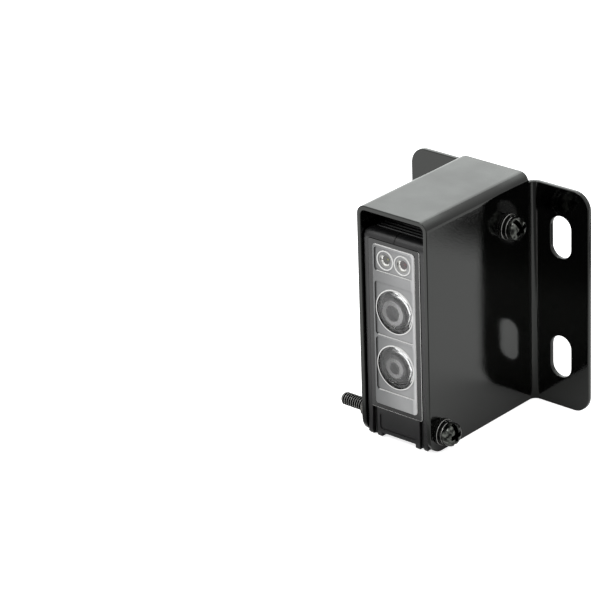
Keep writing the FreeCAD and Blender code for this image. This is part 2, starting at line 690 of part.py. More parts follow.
# Light receiver: a round can with a domed window, on the optics board
def receiver_diode():
    top = BLOCK_BACK_Y - RECEIVER_CAN_HEIGHT
    foot = rod_y(RECEIVER_FOOT_R, BLOCK_BACK_Y - RECEIVER_FOOT_HEIGHT, BLOCK_BACK_Y, 0, RECEIVER_Z)
    can = rod_y(RECEIVER_R, top, BLOCK_BACK_Y, 0, RECEIVER_Z)
    window = dome(RECEIVER_WINDOW_R, RECEIVER_WINDOW_RISE, 0, top, RECEIVER_Z, -1)
    return fuse_all(can, [foot, window])


# Light source: a small clear lamp with a round foot, on the optics board
def emitter_led():
    top = BLOCK_BACK_Y - EMITTER_HEIGHT
    foot = rod_y(EMITTER_FOOT_R, BLOCK_BACK_Y - EMITTER_FOOT_HEIGHT, BLOCK_BACK_Y, 0, EMITTER_Z)
    barrel = rod_y(EMITTER_R, top, BLOCK_BACK_Y, 0, EMITTER_Z)
    return fuse_all(barrel, [foot, dome(EMITTER_R, EMITTER_DOME_RISE, 0, top, EMITTER_Z, -1)])


# Indicator lamp: domed body, flange on the block's seat and two leads through the board
def indicator_led(x):
    seat = LEDGE_BACK_Y + LAMP_SEAT_DEPTH
    barrel_start = seat - LAMP_LENGTH + LAMP_R
    flange_end = seat + LAMP_FLANGE_THICKNESS
    pieces = [
        rod_y(LAMP_FLANGE_R, seat, flange_end, x, WELL_Z),
        dome(LAMP_R, LAMP_R, x, barrel_start, WELL_Z, -1),
    ]
    half = LEAD_THICKNESS / 2
    for lead_x in (x - LEAD_SPREAD / 2, x + LEAD_SPREAD / 2):
        ends = (flange_end - half, OPTICS_BOARD_BACK_Y + LEAD_TAIL)
        pieces.append(block(lead_x - half, lead_x + half, *ends, WELL_Z - half, WELL_Z + half))
    return fuse_all(rod_y(LAMP_R, barrel_start, seat, x, WELL_Z), pieces)


# Circuit board behind the optics block
def optics_board():
    half = POCKET_HALF - 2 * BLOCK_SIDE_GAP
    board = block(-half, half, BLOCK_BACK_Y, OPTICS_BOARD_BACK_Y, WINDOW_LOW, WINDOW_TOP)
    tools = []
    ends = (BLOCK_BACK_Y - PAST, OPTICS_BOARD_BACK_Y + PAST)
    for z in OPTICS_SCREWS:
        tools.append(rod_y(OPTICS_SCREW_R + OPTICS_SCREW_GAP, *ends, 0, z))
    for x in (-WELL_SPREAD / 2, WELL_SPREAD / 2):
        for lead_x in (x - LEAD_SPREAD / 2, x + LEAD_SPREAD / 2):
            tools.append(rod_y(LEAD_THICKNESS / 2 + LEAD_HOLE_GAP, *ends, lead_x, WELL_Z))
    return cut_all(board, tools)


# Round head with a bevelled front edge and a shank, both along Y
def small_screw(x, z, seat_y, shank_r, length, head_r, head_height, head_bevel):
    head = rod_y(head_r, seat_y, seat_y + head_height, x, z)
    head = head.makeChamfer(head_bevel, [end_circle(head, V(x, seat_y + head_height, z))])
    return head.fuse(rod_y(shank_r, seat_y - length, seat_y, x, z))


# Two screws through the optics board into the block
def optics_screws():
    return Part.makeCompound([
        small_screw(
            0,
            z,
            OPTICS_BOARD_BACK_Y,
            OPTICS_SCREW_R,
            OPTICS_SCREW_LENGTH,
            OPTICS_SCREW_HEAD_R,
            OPTICS_SCREW_HEAD_HEIGHT,
            OPTICS_SCREW_HEAD_BEVEL,
        )
        for z in OPTICS_SCREWS
    ])


# Tin can over the receiver's amplifier, open towards the board
def receiver_shield():
    low = OPTICS_SCREWS[0] + OPTICS_SCREW_HEAD_R + SHIELD_SCREW_GAP
    left = SHIELD_SIDE_SHIFT - SHIELD_WIDTH / 2
    right = left + SHIELD_WIDTH
    end = OPTICS_BOARD_BACK_Y + SHIELD_DEPTH
    can = block(left, right, OPTICS_BOARD_BACK_Y, end, low, low + SHIELD_HEIGHT)
    inside = block(
        left + SHIELD_WALL,
        right - SHIELD_WALL,
        OPTICS_BOARD_BACK_Y - PAST,
        end - SHIELD_WALL,
        low + SHIELD_WALL,
        low + SHIELD_HEIGHT - SHIELD_WALL,
    )
    return can.cut(inside)


# Main circuit board, upright along the left side of the case
def main_board():
    return block(BOARD_X, BOARD_FACE_X, MAIN_BOARD_Y, MAIN_BOARD_BACK_Y, BOARD_LOW, BOARD_TOP)


# Pin strip that joins the two boards
def board_link():
    middle = (RELAY_LOW + RELAY_TOP) / 2
    ends = (middle - LINK_LENGTH / 2, middle + LINK_LENGTH / 2)
    front = OPTICS_BOARD_BACK_Y
    return block(BOARD_FACE_X, BOARD_FACE_X + LINK_WIDTH, front, front + LINK_DEPTH, *ends)


# Output relay: a sealed box with soft edges on a narrower base
def relay():
    top = BOARD_FACE_X + RELAY_HEIGHT
    base_top = BOARD_FACE_X + RELAY_BASE_HEIGHT
    back = RELAY_Y + RELAY_LENGTH
    view = [
        (RELAY_Y, RELAY_LOW, RELAY_EDGE_R),
        (back, RELAY_LOW, RELAY_EDGE_R),
        (back, RELAY_TOP, RELAY_EDGE_R),
        (RELAY_Y, RELAY_TOP, RELAY_EDGE_R),
    ]
    inset = RELAY_BASE_INSET
    base = block(
        BOARD_FACE_X,
        base_top,
        RELAY_Y + inset,
        back - inset,
        RELAY_LOW + inset,
        RELAY_TOP - inset,
    )
    return fuse_all(along_x(view, base_top, top), [base])


# Round capacitor with a rolled neck near its foot
def capacitor():
    neck_start = BOARD_FACE_X + CAPACITOR_NECK
    neck_end = neck_start + CAPACITOR_NECK_LENGTH
    end = BOARD_FACE_X + CAPACITOR_LENGTH
    foot = rod_x(CAPACITOR_R, BOARD_FACE_X, neck_start, CAPACITOR_Y, COMPONENT_Z)
    neck = rod_x(CAPACITOR_SLEEVE_R, neck_start, neck_end, CAPACITOR_Y, COMPONENT_Z)
    can = rod_x(CAPACITOR_R, neck_end, end, CAPACITOR_Y, COMPONENT_Z)
    return fuse_all(foot, [neck, can])


# Choke: a drum core with its winding between two flanges
def choke_coil():
    end = BOARD_FACE_X + CHOKE_HEIGHT
    low_flange = rod_x(CHOKE_R, BOARD_FACE_X, BOARD_FACE_X + CHOKE_FLANGE, CHOKE_Y, COMPONENT_Z)
    winding = rod_x(CHOKE_WINDING_R, BOARD_FACE_X, end, CHOKE_Y, COMPONENT_Z)
    top_flange = rod_x(CHOKE_R, end - CHOKE_FLANGE, end, CHOKE_Y, COMPONENT_Z)
    return fuse_all(winding, [low_flange, top_flange])


# Varistor: a dipped disc standing on two leads
def varistor():
    middle_y = VARISTOR_Y + VARISTOR_THICKNESS / 2
    middle_x = BOARD_FACE_X + VARISTOR_STANDOFF + VARISTOR_R
    disc = rod_y(VARISTOR_R, VARISTOR_Y, VARISTOR_Y + VARISTOR_THICKNESS, middle_x, COMPONENT_Z)
    half = LEAD_THICKNESS / 2
    leads = [
        block(BOARD_FACE_X, middle_x, middle_y - half, middle_y + half, z - half, z + half)
        for z in (COMPONENT_Z - VARISTOR_R / 2, COMPONENT_Z + VARISTOR_R / 2)
    ]
    return fuse_all(disc, leads)


# Control chip with two rows of legs
def control_chip():
    middle_y = MAIN_BOARD_Y + PART_GAP + CHIP_LEG_REACH + CHIP_WIDTH / 2
    middle_z = INLET_Z
    low_x = BOARD_FACE_X + CHIP_STANDOFF
    side = CHIP_WIDTH / 2
    body = block(
        low_x,
        low_x + CHIP_HEIGHT,
        middle_y - side,
        middle_y + side,
        middle_z - CHIP_LENGTH / 2,
        middle_z + CHIP_LENGTH / 2,
    )
    legs = []
    reach = side + CHIP_LEG_REACH
    for index in range(CHIP_LEGS):
        z = middle_z + (index - (CHIP_LEGS - 1) / 2) * CHIP_LEG_PITCH
        ends = (z - CHIP_LEG_WIDTH / 2, z + CHIP_LEG_WIDTH / 2)
        shoulder = low_x + CHIP_LEG_THICKNESS
        legs.append(block(BOARD_FACE_X, shoulder, middle_y - reach, middle_y + reach, *ends))
    return fuse_all(body, legs)


# Connector for the wires of the cable, its ways open towards the lid
def wire_connector():
    front = CONNECTOR_BACK_Y - CONNECTOR_DEPTH
    end = BOARD_FACE_X + CONNECTOR_HEIGHT
    body = block(BOARD_FACE_X, end, front, CONNECTOR_BACK_Y, CONNECTOR_LOW, CONNECTOR_TOP)
    half = CONNECTOR_WAY_WIDTH / 2
    middle_x = BOARD_FACE_X + CONNECTOR_HEIGHT / 2
    way_start = CONNECTOR_BACK_Y - CONNECTOR_WAY_DEPTH
    ways = []
    for index in range(CONNECTOR_WAYS):
        z = CONNECTOR_LOW + (index + 0.5) * CONNECTOR_PITCH
        way_ends = (way_start, CONNECTOR_BACK_Y + PAST)
        ways.append(block(middle_x - half, middle_x + half, *way_ends, z - half, z + half))
    return cut_all(body, ways)


# Ring-shaped frame that follows the rim of the case, between two insets
def rim_frame(inset, width, y_start, y_end):
    def ring(amount):
        radius = max(CASE_EDGE_R - amount, 0)
        return rectangle(CASE_HALF - amount, CASE_LOW + amount, CASE_TOP - amount, radius)

    outside = along_y(ring(inset), y_start, y_end)
    return outside.cut(along_y(ring(inset + width), y_start - PAST, y_end + PAST))


# Rubber seal in the lid's groove, against the rim of the case
def rear_gasket():
    return rim_frame(REAR_SEAL_INSET, REAR_SEAL_WIDTH, CASE_BACK_Y, CASE_BACK_Y + REAR_SEAL_THICKNESS)


# Lid at the back, with locating ribs, a groove for the seal, screw seats and the cable hole
def rear_cover():
    view = rectangle(CASE_HALF, CASE_LOW, CASE_TOP, CASE_EDGE_R)
    lid = along_y(view, CASE_BACK_Y, LID_BACK_Y)
    ribs = []
    rib_low = BOSS_LOW_Z + BOSS_R + REAR_RIB_END_GAP
    rib_top = BOSS_TOP_Z - BOSS_R - REAR_RIB_END_GAP
    rib_out = POCKET_HALF - REAR_RIB_GAP
    for side in (-1, 1):
        x_ends = sorted((side * rib_out, side * (rib_out - REAR_RIB_WALL)))
        ribs.append(block(*x_ends, CASE_BACK_Y - REAR_RIB_DEPTH, CASE_BACK_Y, rib_low, rib_top))
    groove = rim_frame(REAR_SEAL_INSET, REAR_SEAL_WIDTH, CASE_BACK_Y, CASE_BACK_Y + REAR_SEAL_THICKNESS)
    tools = [groove]
    tools.append(rod_y(GROMMET_NECK_R + GROMMET_GAP, CASE_BACK_Y - PAST, LID_BACK_Y + PAST, 0, INLET_Z))
    for x, z in LID_SCREWS:
        shank_r = LID_SCREW_R + LID_SCREW_GAP
        head_r = LID_SCREW_HEAD_R + LID_SCREW_GAP
        tools.append(rod_y(shank_r, CASE_BACK_Y - PAST, LID_BACK_Y + PAST, x, z))
        tools.append(rod_y(head_r, LID_BACK_Y - LID_SCREW_SINK, LID_BACK_Y + PAST, x, z))
    return cut_all(fuse_all(lid, ribs), tools)


# Four small screws that hold the lid
def rear_cover_screws():
    return Part.makeCompound([
        small_screw(
            x,
            z,
            LID_BACK_Y - LID_SCREW_SINK,
            LID_SCREW_R,
            LID_SCREW_LENGTH,
            LID_SCREW_HEAD_R,
            LID_SCREW_HEAD_HEIGHT,
            LID_SCREW_HEAD_BEVEL,
        )
        for x, z in LID_SCREWS
    ])


# Rubber cable inlet: a neck between two flanges and a tapered tail
def cable_grommet():
    inner_start = CASE_BACK_Y - GROMMET_INNER_FLANGE
    tail_start = LID_BACK_Y + GROMMET_OUTER_FLANGE
    tail_end = tail_start + GROMMET_TAIL_LENGTH
    tail = Part.makeCone(
        GROMMET_TAIL_R, GROMMET_TAIL_END_R, GROMMET_TAIL_LENGTH, V(0, tail_start, INLET_Z), V(0, 1, 0)
    )
    body = fuse_all(
        rod_y(GROMMET_NECK_R, CASE_BACK_Y, LID_BACK_Y, 0, INLET_Z),
        [
            rod_y(GROMMET_FLANGE_R, inner_start, CASE_BACK_Y, 0, INLET_Z),
            rod_y(GROMMET_FLANGE_R, LID_BACK_Y, tail_start, 0, INLET_Z),
            tail,
        ],
    )
    return body.cut(rod_y(INLET_R, inner_start - PAST, tail_end + PAST, 0, INLET_Z))


# Long pan head screws that clamp the legs on the case
def clamp_screws():
    seat = LEG_OUTSIDE + FLAT_WASHER_THICKNESS + SPRING_WASHER_THICKNESS
    head_end = seat + SCREW_HEAD_HEIGHT
    tip = -LEG_OUTSIDE - NUT_HEIGHT - SCREW_END
    screws = []
    for y, z in CLAMP_HOLES:
        head = rod_x(SCREW_HEAD_R, seat, head_end, y, z)
        head = round_end(head, SCREW_HEAD_ROUND, V(head_end, y, z))
        shank = rod_x(SCREW_R, tip, seat, y, z)
        shank = shank.makeChamfer(SCREW_TIP_CHAMFER, [end_circle(shank, V(tip, y, z))])
        screws.append(head.fuse(shank))
    return Part.makeCompound(screws)


# Flat washers against the right leg
def flat_washers():
    end = LEG_OUTSIDE + FLAT_WASHER_THICKNESS
    bore_r = SCREW_R + WASHER_BORE_GAP
    return Part.makeCompound([
        rod_x(FLAT_WASHER_R, LEG_OUTSIDE, end, y, z).cut(
            rod_x(bore_r, LEG_OUTSIDE - PAST, end + PAST, y, z)
        )
        for y, z in CLAMP_HOLES
    ])


# Split spring washers between the flat washers and the heads
def spring_washers():
    start = LEG_OUTSIDE + FLAT_WASHER_THICKNESS
    end = start + SPRING_WASHER_THICKNESS
    bore_r = SCREW_R + WASHER_BORE_GAP
    half = SPRING_WASHER_SPLIT / 2
    washers = []
    for y, z in CLAMP_HOLES:
        ring = rod_x(SPRING_WASHER_R, start, end, y, z)
        ring = ring.cut(rod_x(bore_r, start - PAST, end + PAST, y, z))
        split = block(start - PAST, end + PAST, y - half, y + half, z, z + SPRING_WASHER_R + PAST)
        split.rotate(V((start + end) / 2, y, z), V(0, 0, 1), SPRING_WASHER_SLANT)
        washers.append(ring.cut(split))
    return Part.makeCompound(washers)


# Thin hexagon nuts on the left leg
def hex_nuts():
    start = -LEG_OUTSIDE - NUT_HEIGHT
    end = -LEG_OUTSIDE
    corner_r = NUT_FLATS / 2 / math.cos(math.radians(30))
    nuts = []
    for y, z in CLAMP_HOLES:
        corners = [
            (y + corner_r * math.cos(math.radians(angle)), z + corner_r * math.sin(math.radians(angle)), 0)
            for angle in range(0, 360, 60)
        ]
        blank = rod_x(corner_r, start, end, y, z)
        rims = [end_circle(blank, V(x, y, z)) for x in (start, end)]
        blank = blank.makeChamfer(NUT_CHAMFER, rims)
        nut = along_x(corners, start, end).common(blank)
        nuts.append(nut.cut(rod_x(SCREW_R + NUT_BORE_GAP, start - PAST, end + PAST, y, z)))
    return Part.makeCompound(nuts)


NODES = {
    "hood_bracket": hood_bracket(),
    "case": case(),
    "front_cover": front_cover(),
    "cover_gasket": cover_gasket(),
    "optics_block": optics_block(),
    "receiver_filter": filter_disc(RECEIVER_Z),
    "emitter_filter": filter_disc(EMITTER_Z),
    "receiver_diode": receiver_diode(),
    "emitter_led": emitter_led(),
    "yellow_indicator_led": indicator_led(-WELL_SPREAD / 2),
    "red_indicator_led": indicator_led(WELL_SPREAD / 2),
    "optics_board": optics_board(),
    "optics_screws": optics_screws(),
    "receiver_shield": receiver_shield(),
    "main_board": main_board(),
    "board_link": board_link(),
    "relay": relay(),
    "capacitor": capacitor(),
    "choke_coil": choke_coil(),
    "varistor": varistor(),
    "control_chip": control_chip(),
    "wire_connector": wire_connector(),
    "rear_gasket": rear_gasket(),
    "rear_cover": rear_cover(),
    "rear_cover_screws": rear_cover_screws(),
    "cable_grommet": cable_grommet(),
    "clamp_screws": clamp_screws(),
    "flat_washers": flat_washers(),
    "spring_washers": spring_washers(),
    "hex_nuts": hex_nuts(),
}

os.makedirs("parts", exist_ok=True)
for node, shape in NODES.items():
    shape.exportStep(f"parts/{node}.step")
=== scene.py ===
import math
from functools import partial

import bmesh
import bpy
from mathutils import Matrix, Vector


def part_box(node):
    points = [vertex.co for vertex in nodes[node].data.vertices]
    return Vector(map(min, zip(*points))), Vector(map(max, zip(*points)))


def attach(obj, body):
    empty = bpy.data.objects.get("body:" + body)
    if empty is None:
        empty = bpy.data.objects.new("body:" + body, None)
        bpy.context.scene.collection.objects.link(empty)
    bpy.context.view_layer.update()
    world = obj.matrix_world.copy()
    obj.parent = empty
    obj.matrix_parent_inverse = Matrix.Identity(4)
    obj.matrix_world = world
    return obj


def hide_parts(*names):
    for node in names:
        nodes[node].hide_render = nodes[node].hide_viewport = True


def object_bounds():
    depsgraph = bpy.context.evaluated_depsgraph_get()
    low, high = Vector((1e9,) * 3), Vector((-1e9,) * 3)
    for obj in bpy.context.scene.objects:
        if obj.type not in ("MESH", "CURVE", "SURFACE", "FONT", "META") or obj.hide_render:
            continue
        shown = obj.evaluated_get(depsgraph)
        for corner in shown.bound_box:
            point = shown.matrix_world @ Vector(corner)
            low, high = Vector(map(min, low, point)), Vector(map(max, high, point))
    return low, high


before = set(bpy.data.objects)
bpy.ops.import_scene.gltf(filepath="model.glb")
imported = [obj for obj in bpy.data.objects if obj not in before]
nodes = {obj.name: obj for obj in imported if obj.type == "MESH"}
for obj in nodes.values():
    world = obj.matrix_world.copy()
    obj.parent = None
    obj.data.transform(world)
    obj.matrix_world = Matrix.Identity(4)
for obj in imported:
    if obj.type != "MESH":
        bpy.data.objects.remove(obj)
cad_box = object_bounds()

# Two circuit boards carry the electronics. They are glass-fibre sheet with copper tracks
# under green lacquer; one is screwed behind the optics block, one stands on pads in the case.
MM = 0.001
BOARD_GREEN = (0.012, 0.075, 0.03, 1)
TRACK_GREEN = (0.03, 0.16, 0.07, 1)
GRAIN_DETAIL = 2
PATCH_DETAIL = 4
PATCH_RANGE = (0.3, 0.7)


def add_node(tree, kind, **settings):
    """A node in a tree, with its settings."""
    node = tree.nodes.new(kind)
    for setting, value in settings.items():
        setattr(node, setting, value)
    return node


def feed(tree, socket, value):
    """Links a socket to another, or sets it to a number or a row of numbers."""
    if isinstance(value, (int, float, tuple)):
        socket.default_value = value
    else:
        tree.links.new(value, socket)


def new_group(name, inputs, outputs):
    """An effect that finishes share: its node group, with its named inlets and outlets."""
    group = bpy.data.node_groups.new(name, "ShaderNodeTree")
    for in_out, names in (("INPUT", inputs), ("OUTPUT", outputs)):
        for socket in names:
            group.interface.new_socket(socket, in_out=in_out, socket_type="NodeSocketFloat")
    return group, add_node(group, "NodeGroupInput").outputs, add_node(group, "NodeGroupOutput").inputs


def place_group(tree, group, values):
    """A shared effect placed in a finish with its own values; gives its outlets."""
    effect = add_node(tree, "ShaderNodeGroup", node_tree=group)
    for name, value in values.items():
        feed(tree, effect.inputs[name], value)
    return effect.outputs


def noise_of(tree, scale, detail):
    """Noise over a piece's own coordinates, at a scale in features per metre."""
    place = add_node(tree, "ShaderNodeTexCoord")
    noise = add_node(tree, "ShaderNodeTexNoise")
    tree.links.new(place.outputs["Object"], noise.inputs["Vector"])
    feed(tree, noise.inputs["Scale"], scale)
    feed(tree, noise.inputs["Detail"], detail)
    return noise.outputs["Fac"]


def spread(tree, value, source, target=(0, 1)):
    """A value carried from one range to another, smoothly and held at the ends."""
    ramp = add_node(tree, "ShaderNodeMapRange", interpolation_type="SMOOTHSTEP")
    feed(tree, ramp.inputs["Value"], value)
    feed(tree, ramp.inputs["From Min"], source[0])
    feed(tree, ramp.inputs["From Max"], source[1])
    feed(tree, ramp.inputs["To Min"], target[0])
    feed(tree, ramp.inputs["To Max"], target[1])
    return ramp.outputs["Result"]


def surface_grain_group():
    """Grain that a mould or a coating leaves: fine height, and patches of duller sheen."""
    group, inlet, outlet = new_group(
        "surface grain",
        ("Grains per metre", "Patches per metre", "Sheen low", "Sheen high"),
        ("Height", "Roughness", "Patch"),
    )
    grain = noise_of(group, inlet["Grains per metre"], GRAIN_DETAIL)
    patch = noise_of(group, inlet["Patches per metre"], PATCH_DETAIL)
    sheen = spread(group, patch, PATCH_RANGE, (inlet["Sheen low"], inlet["Sheen high"]))
    group.links.new(grain, outlet["Height"])
    group.links.new(sheen, outlet["Roughness"])
    group.links.new(patch, outlet["Patch"])
    return group


surface_grain = surface_grain_group()


def shader_of(material):
    """The sockets of a finish's shader."""
    return material.node_tree.nodes["Principled BSDF"].inputs


def emboss(material, height, depth):
    """Raises the skin of a finish by up to a depth, where a height says."""
    tree = material.node_tree
    bump = add_node(tree, "ShaderNodeBump")
    bump.inputs["Distance"].default_value = depth
    tree.links.new(height, bump.inputs["Height"])
    tree.links.new(bump.outputs["Normal"], shader_of(material)["Normal"])


def grained(name, dark, light, grains, patches, sheen, depth=0, plain=None):
    """A finish whose colour, sheen and skin vary as a moulded or coated surface does.

    What is the same all over comes in plain, by the name of the shader's socket.
    """
    material = bpy.data.materials.new(name)
    material.use_nodes = True
    tree = material.node_tree
    shader = shader_of(material)
    grain = place_group(tree, surface_grain, {
        "Grains per metre": grains,
        "Patches per metre": patches,
        "Sheen low": sheen[0],
        "Sheen high": sheen[1],
    })
    colour = add_node(tree, "ShaderNodeMix", data_type="RGBA")
    colour.inputs["A"].default_value = dark
    colour.inputs["B"].default_value = light
    tree.links.new(grain["Patch"], colour.inputs["Factor"])
    tree.links.new(colour.outputs["Result"], shader["Base Color"])
    tree.links.new(grain["Roughness"], shader["Roughness"])
    if depth:
        emboss(material, grain["Height"], depth)
    for socket, value in (plain or {}).items():
        shader[socket].default_value = value
    return material


def dress(node, material):
    """Gives a solid of the frame its finish."""
    nodes[node].data.materials.clear()
    nodes[node].data.materials.append(material)


lacquered_board = grained(
    "lacquered board", BOARD_GREEN, TRACK_GREEN,
    grains=900, patches=300, sheen=(0.25, 0.4), depth=0.02 * MM,
)
for board in ("optics_board", "main_board"):
    dress(board, lacquered_board)

# Parts soldered to the boards: relay, capacitor, choke, varistor, chip, connector and pin strip.
# Each has the finish of its kind: moulded nylon, sleeved can, enamelled copper or epoxy dip.
# A line gives a part's darker and lighter colour and its range of sheen.
BOARD_PARTS = {
    "relay": ((0.02, 0.022, 0.026, 1), (0.035, 0.037, 0.042, 1), (0.35, 0.5)),
    "capacitor": ((0.02, 0.022, 0.05, 1), (0.03, 0.034, 0.07, 1), (0.2, 0.35)),
    "choke_coil": ((0.32, 0.11, 0.035, 1), (0.45, 0.17, 0.06, 1), (0.25, 0.4)),
    "varistor": ((0.01, 0.04, 0.16, 1), (0.015, 0.06, 0.22, 1), (0.3, 0.45)),
    "control_chip": ((0.008, 0.008, 0.008, 1), (0.014, 0.014, 0.014, 1), (0.45, 0.6)),
    "wire_connector": ((0.5, 0.48, 0.43, 1), (0.6, 0.58, 0.53, 1), (0.35, 0.5)),
    "board_link": ((0.008, 0.008, 0.008, 1), (0.012, 0.012, 0.012, 1), (0.4, 0.55)),
}

for board_part, (dark, light, sheen) in BOARD_PARTS.items():
    part_finish = grained(
        board_part + " finish", dark, light, grains=1500, patches=200, sheen=sheen, depth=0.01 * MM
    )
    dress(board_part, part_finish)

# Tinned shield can over the receiver's amplifier, and the small zinc-plated screws of the board.
# Both are bare metal, left with a fine grain by the press and the thread roller.
PLATE_DARK = (0.36, 0.36, 0.35, 1)
PLATE_LIGHT = (0.5, 0.5, 0.49, 1)
METAL = {"Metallic": 1}

plated_metal = grained(
    "plated metal", PLATE_DARK, PLATE_LIGHT,
    grains=3000, patches=250, sheen=(0.25, 0.4), depth=0.004 * MM, plain=METAL,
)
for metal_part in ("receiver_shield", "optics_screws"):
    dress(metal_part, plated_metal)

# Light parts on the optics board: the receiver in its plated can, the clear emitter lamp
# and the two tinted indicator lamps. The lamps are cast in clear or tinted epoxy, which is
# given a faint glow of its own colour: painted light that lets the colour show through the wells.
CAN_DARK = (0.4, 0.4, 0.39, 1)
CAN_LIGHT = (0.55, 0.55, 0.53, 1)
CLEAR_EPOXY = (0.6, 0.59, 0.55, 1)
YELLOW_EPOXY = (0.6, 0.55, 0.03, 1)
RED_EPOXY = (0.6, 0.015, 0.01, 1)
EPOXY_SHADE = 0.8
EPOXY_CLEARNESS = 0.4
EPOXY_IOR = 1.54
EPOXY_PAINTED_GLOW = 0.5


def epoxy(name, colour):
    """Cast epoxy of a lamp, glossy and part see-through, with a faint painted glow of its own colour."""
    shade = [channel * EPOXY_SHADE for channel in colour[:3]] + [1]
    return grained(
        name, shade, colour, grains=800, patches=400, sheen=(0.08, 0.16), depth=0.003 * MM,
        plain={
            "Transmission Weight": EPOXY_CLEARNESS,
            "IOR": EPOXY_IOR,
            "Emission Color": colour,
            "Emission Strength": EPOXY_PAINTED_GLOW,
        },
    )


receiver_can = grained(
    "receiver can", CAN_DARK, CAN_LIGHT, grains=2500, patches=300, sheen=(0.3, 0.45), depth=0.004 * MM
)
dress("receiver_diode", receiver_can)
dress("emitter_led", epoxy("clear epoxy", CLEAR_EPOXY))
dress("yellow_indicator_led", epoxy("yellow epoxy", YELLOW_EPOXY))
dress("red_indicator_led", epoxy("red epoxy", RED_EPOXY))

# Optics block with its stepped barrels, moulded in dull black so that stray light dies in it,
# and the two polarising discs that lie in the mouths of the barrels.
BLOCK_BLACK = (0.006, 0.006, 0.006, 1)
BLOCK_GREY = (0.011, 0.011, 0.011, 1)
FILTER_TINT = (0.7, 0.69, 0.72, 1)
FILTER_TINT_LIGHT = (0.76, 0.75, 0.78, 1)
FILTER_IOR = 1.1

dull_black = grained(
    "dull black moulding", BLOCK_BLACK, BLOCK_GREY,
    grains=1800, patches=150, sheen=(0.4, 0.55), depth=0.01 * MM,
)
dress("optics_block", dull_black)
polariser = grained(
    "polarising film", FILTER_TINT, FILTER_TINT_LIGHT, grains=600, patches=200, sheen=(0.03, 0.06),
    plain={"Transmission Weight": 1, "IOR": FILTER_IOR},
)
for disc in ("receiver_filter", "emitter_filter"):
    dress(disc, polariser)

# Case of the sensor: one black moulding with the brow and flanks round the cover and a nose
# below it, whose plate is left bare. Its edges are rounded as the mould leaves them.
CASE_BLACK = (0.003, 0.003, 0.0032, 1)
CASE_GREY = (0.006, 0.006, 0.0064, 1)
CASE_EDGE = 0.18 * MM
WELD = 0.0005 * MM
FLAT_WITHIN = math.radians(0.1)
SHARP_OVER = math.radians(32)
ROUND_SEGMENTS = 2
ROOM_BESIDE = 2.4
ROOM_AT_END = 1.2
IN_LINE = 0.9


def smooth_mesh(name, bm):
    """A mesh object of the scene, shaded smooth, from finished geometry."""
    for face in bm.faces:
        face.smooth = True
    mesh = bpy.data.meshes.new(name)
    bm.to_mesh(mesh)
    bm.free()
    if "custom_normal" in mesh.attributes:
        mesh.attributes.remove(mesh.attributes["custom_normal"])
    piece = bpy.data.objects.new(name, mesh)
    bpy.context.scene.collection.objects.link(piece)
    return piece


def room_beside(edge, width):
    """Whether the faces on both sides of an edge are at least so wide at its middle."""
    for loop in edge.link_loops:
        start = loop.vert.co
        end = loop.link_loop_next.vert.co
        along = (end - start).normalized()
        across = loop.face.normal.cross(along)
        middle = (start + end) / 2
        for other in loop.face.loops:
            if other is loop or other.edge.calc_face_angle(0) < FLAT_WITHIN:
                continue
            near = other.vert.co - middle
            far = other.link_loop_next.vert.co - middle
            near_side = near.dot(along)
            far_side = far.dot(along)
            if near_side * far_side <= 0 and near_side != far_side:
                share = near_side / (near_side - far_side)
                if 0 < near.lerp(far, share).dot(across) < width:
                    return False
    return True


def room_at_ends(edge, length):
    """Whether the edges that turn off at the ends of an edge are at least so long."""
    for corner in edge.verts:
        along = (edge.other_vert(corner).co - corner.co).normalized()
        for other in corner.link_edges:
            aside = (other.other_vert(corner).co - corner.co).normalized()
            turns_off = other is not edge and abs(aside.dot(along)) < IN_LINE
            if turns_off and other.calc_length() < length:
                return False
    return True


def mark_roundings(bm, width):
    """Marks the edges of a form that have room for a rounding; the other sharp ones stay sharp."""
    bm.normal_update()
    weight = bm.edges.layers.float.new("bevel_weight_edge")
    for edge in bm.edges:
        edge.smooth = edge.calc_face_angle(0) < SHARP_OVER
        if edge.smooth:
            continue
        if room_beside(edge, ROOM_BESIDE * width) and room_at_ends(edge, ROOM_AT_END * width):
            edge[weight] = 1
            edge.smooth = True


def soften(piece, width, segments=ROUND_SEGMENTS):
    """Rounds the marked edges of a piece and keeps its flat faces flat."""
    bevel = piece.modifiers.new("rounded edges", "BEVEL")
    bevel.width = width
    bevel.segments = segments
    bevel.limit_method = "WEIGHT"
    bevel.use_clamp_overlap = False
    weld = piece.modifiers.new("joined corners", "WELD")
    weld.merge_threshold = WELD
    shading = piece.modifiers.new("even shading", "WEIGHTED_NORMAL")
    shading.keep_sharp = True
    return piece


def clean_form(node, cuts=()):
    """The form of a solid with its flat faces whole again, but for upright cuts at some sides."""
    bm = bmesh.new()
    bm.from_mesh(nodes[node].data)
    bmesh.ops.remove_doubles(bm, verts=bm.verts, dist=WELD)
    kept = set()
    for side in cuts:
        parts = bm.verts[:] + bm.edges[:] + bm.faces[:]
        cut = bmesh.ops.bisect_plane(
            bm, geom=parts, dist=WELD, plane_co=(side, 0, 0), plane_no=(1, 0, 0)
        )
        kept.update(part for part in cut["geom_cut"] if isinstance(part, bmesh.types.BMEdge))
    loose = [edge for edge in bm.edges if edge not in kept]
    bmesh.ops.dissolve_limit(bm, angle_limit=FLAT_WITHIN, verts=bm.verts, edges=loose)
    return bm


def stand_in(piece, node, materials):
    """Puts a finished piece in place of the plain solid of a node."""
    for material in materials:
        piece.data.materials.append(material)
    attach(piece, "root")
    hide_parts(node)
    return piece


def finished_copy(node, width, material, segments=ROUND_SEGMENTS, cuts=()):
    """A copy of a solid with softened edges and its finish, in place of the plain solid."""
    form = clean_form(node, cuts)
    mark_roundings(form, width)
    piece = soften(smooth_mesh(node + "_finished", form), width, segments)
    return stand_in(piece, node, [material])


moulded_black = grained(
    "moulded black", CASE_BLACK, CASE_GREY,
    grains=2200, patches=120, sheen=(0.26, 0.36), depth=0.006 * MM,
)
finished_copy("case", CASE_EDGE, moulded_black)

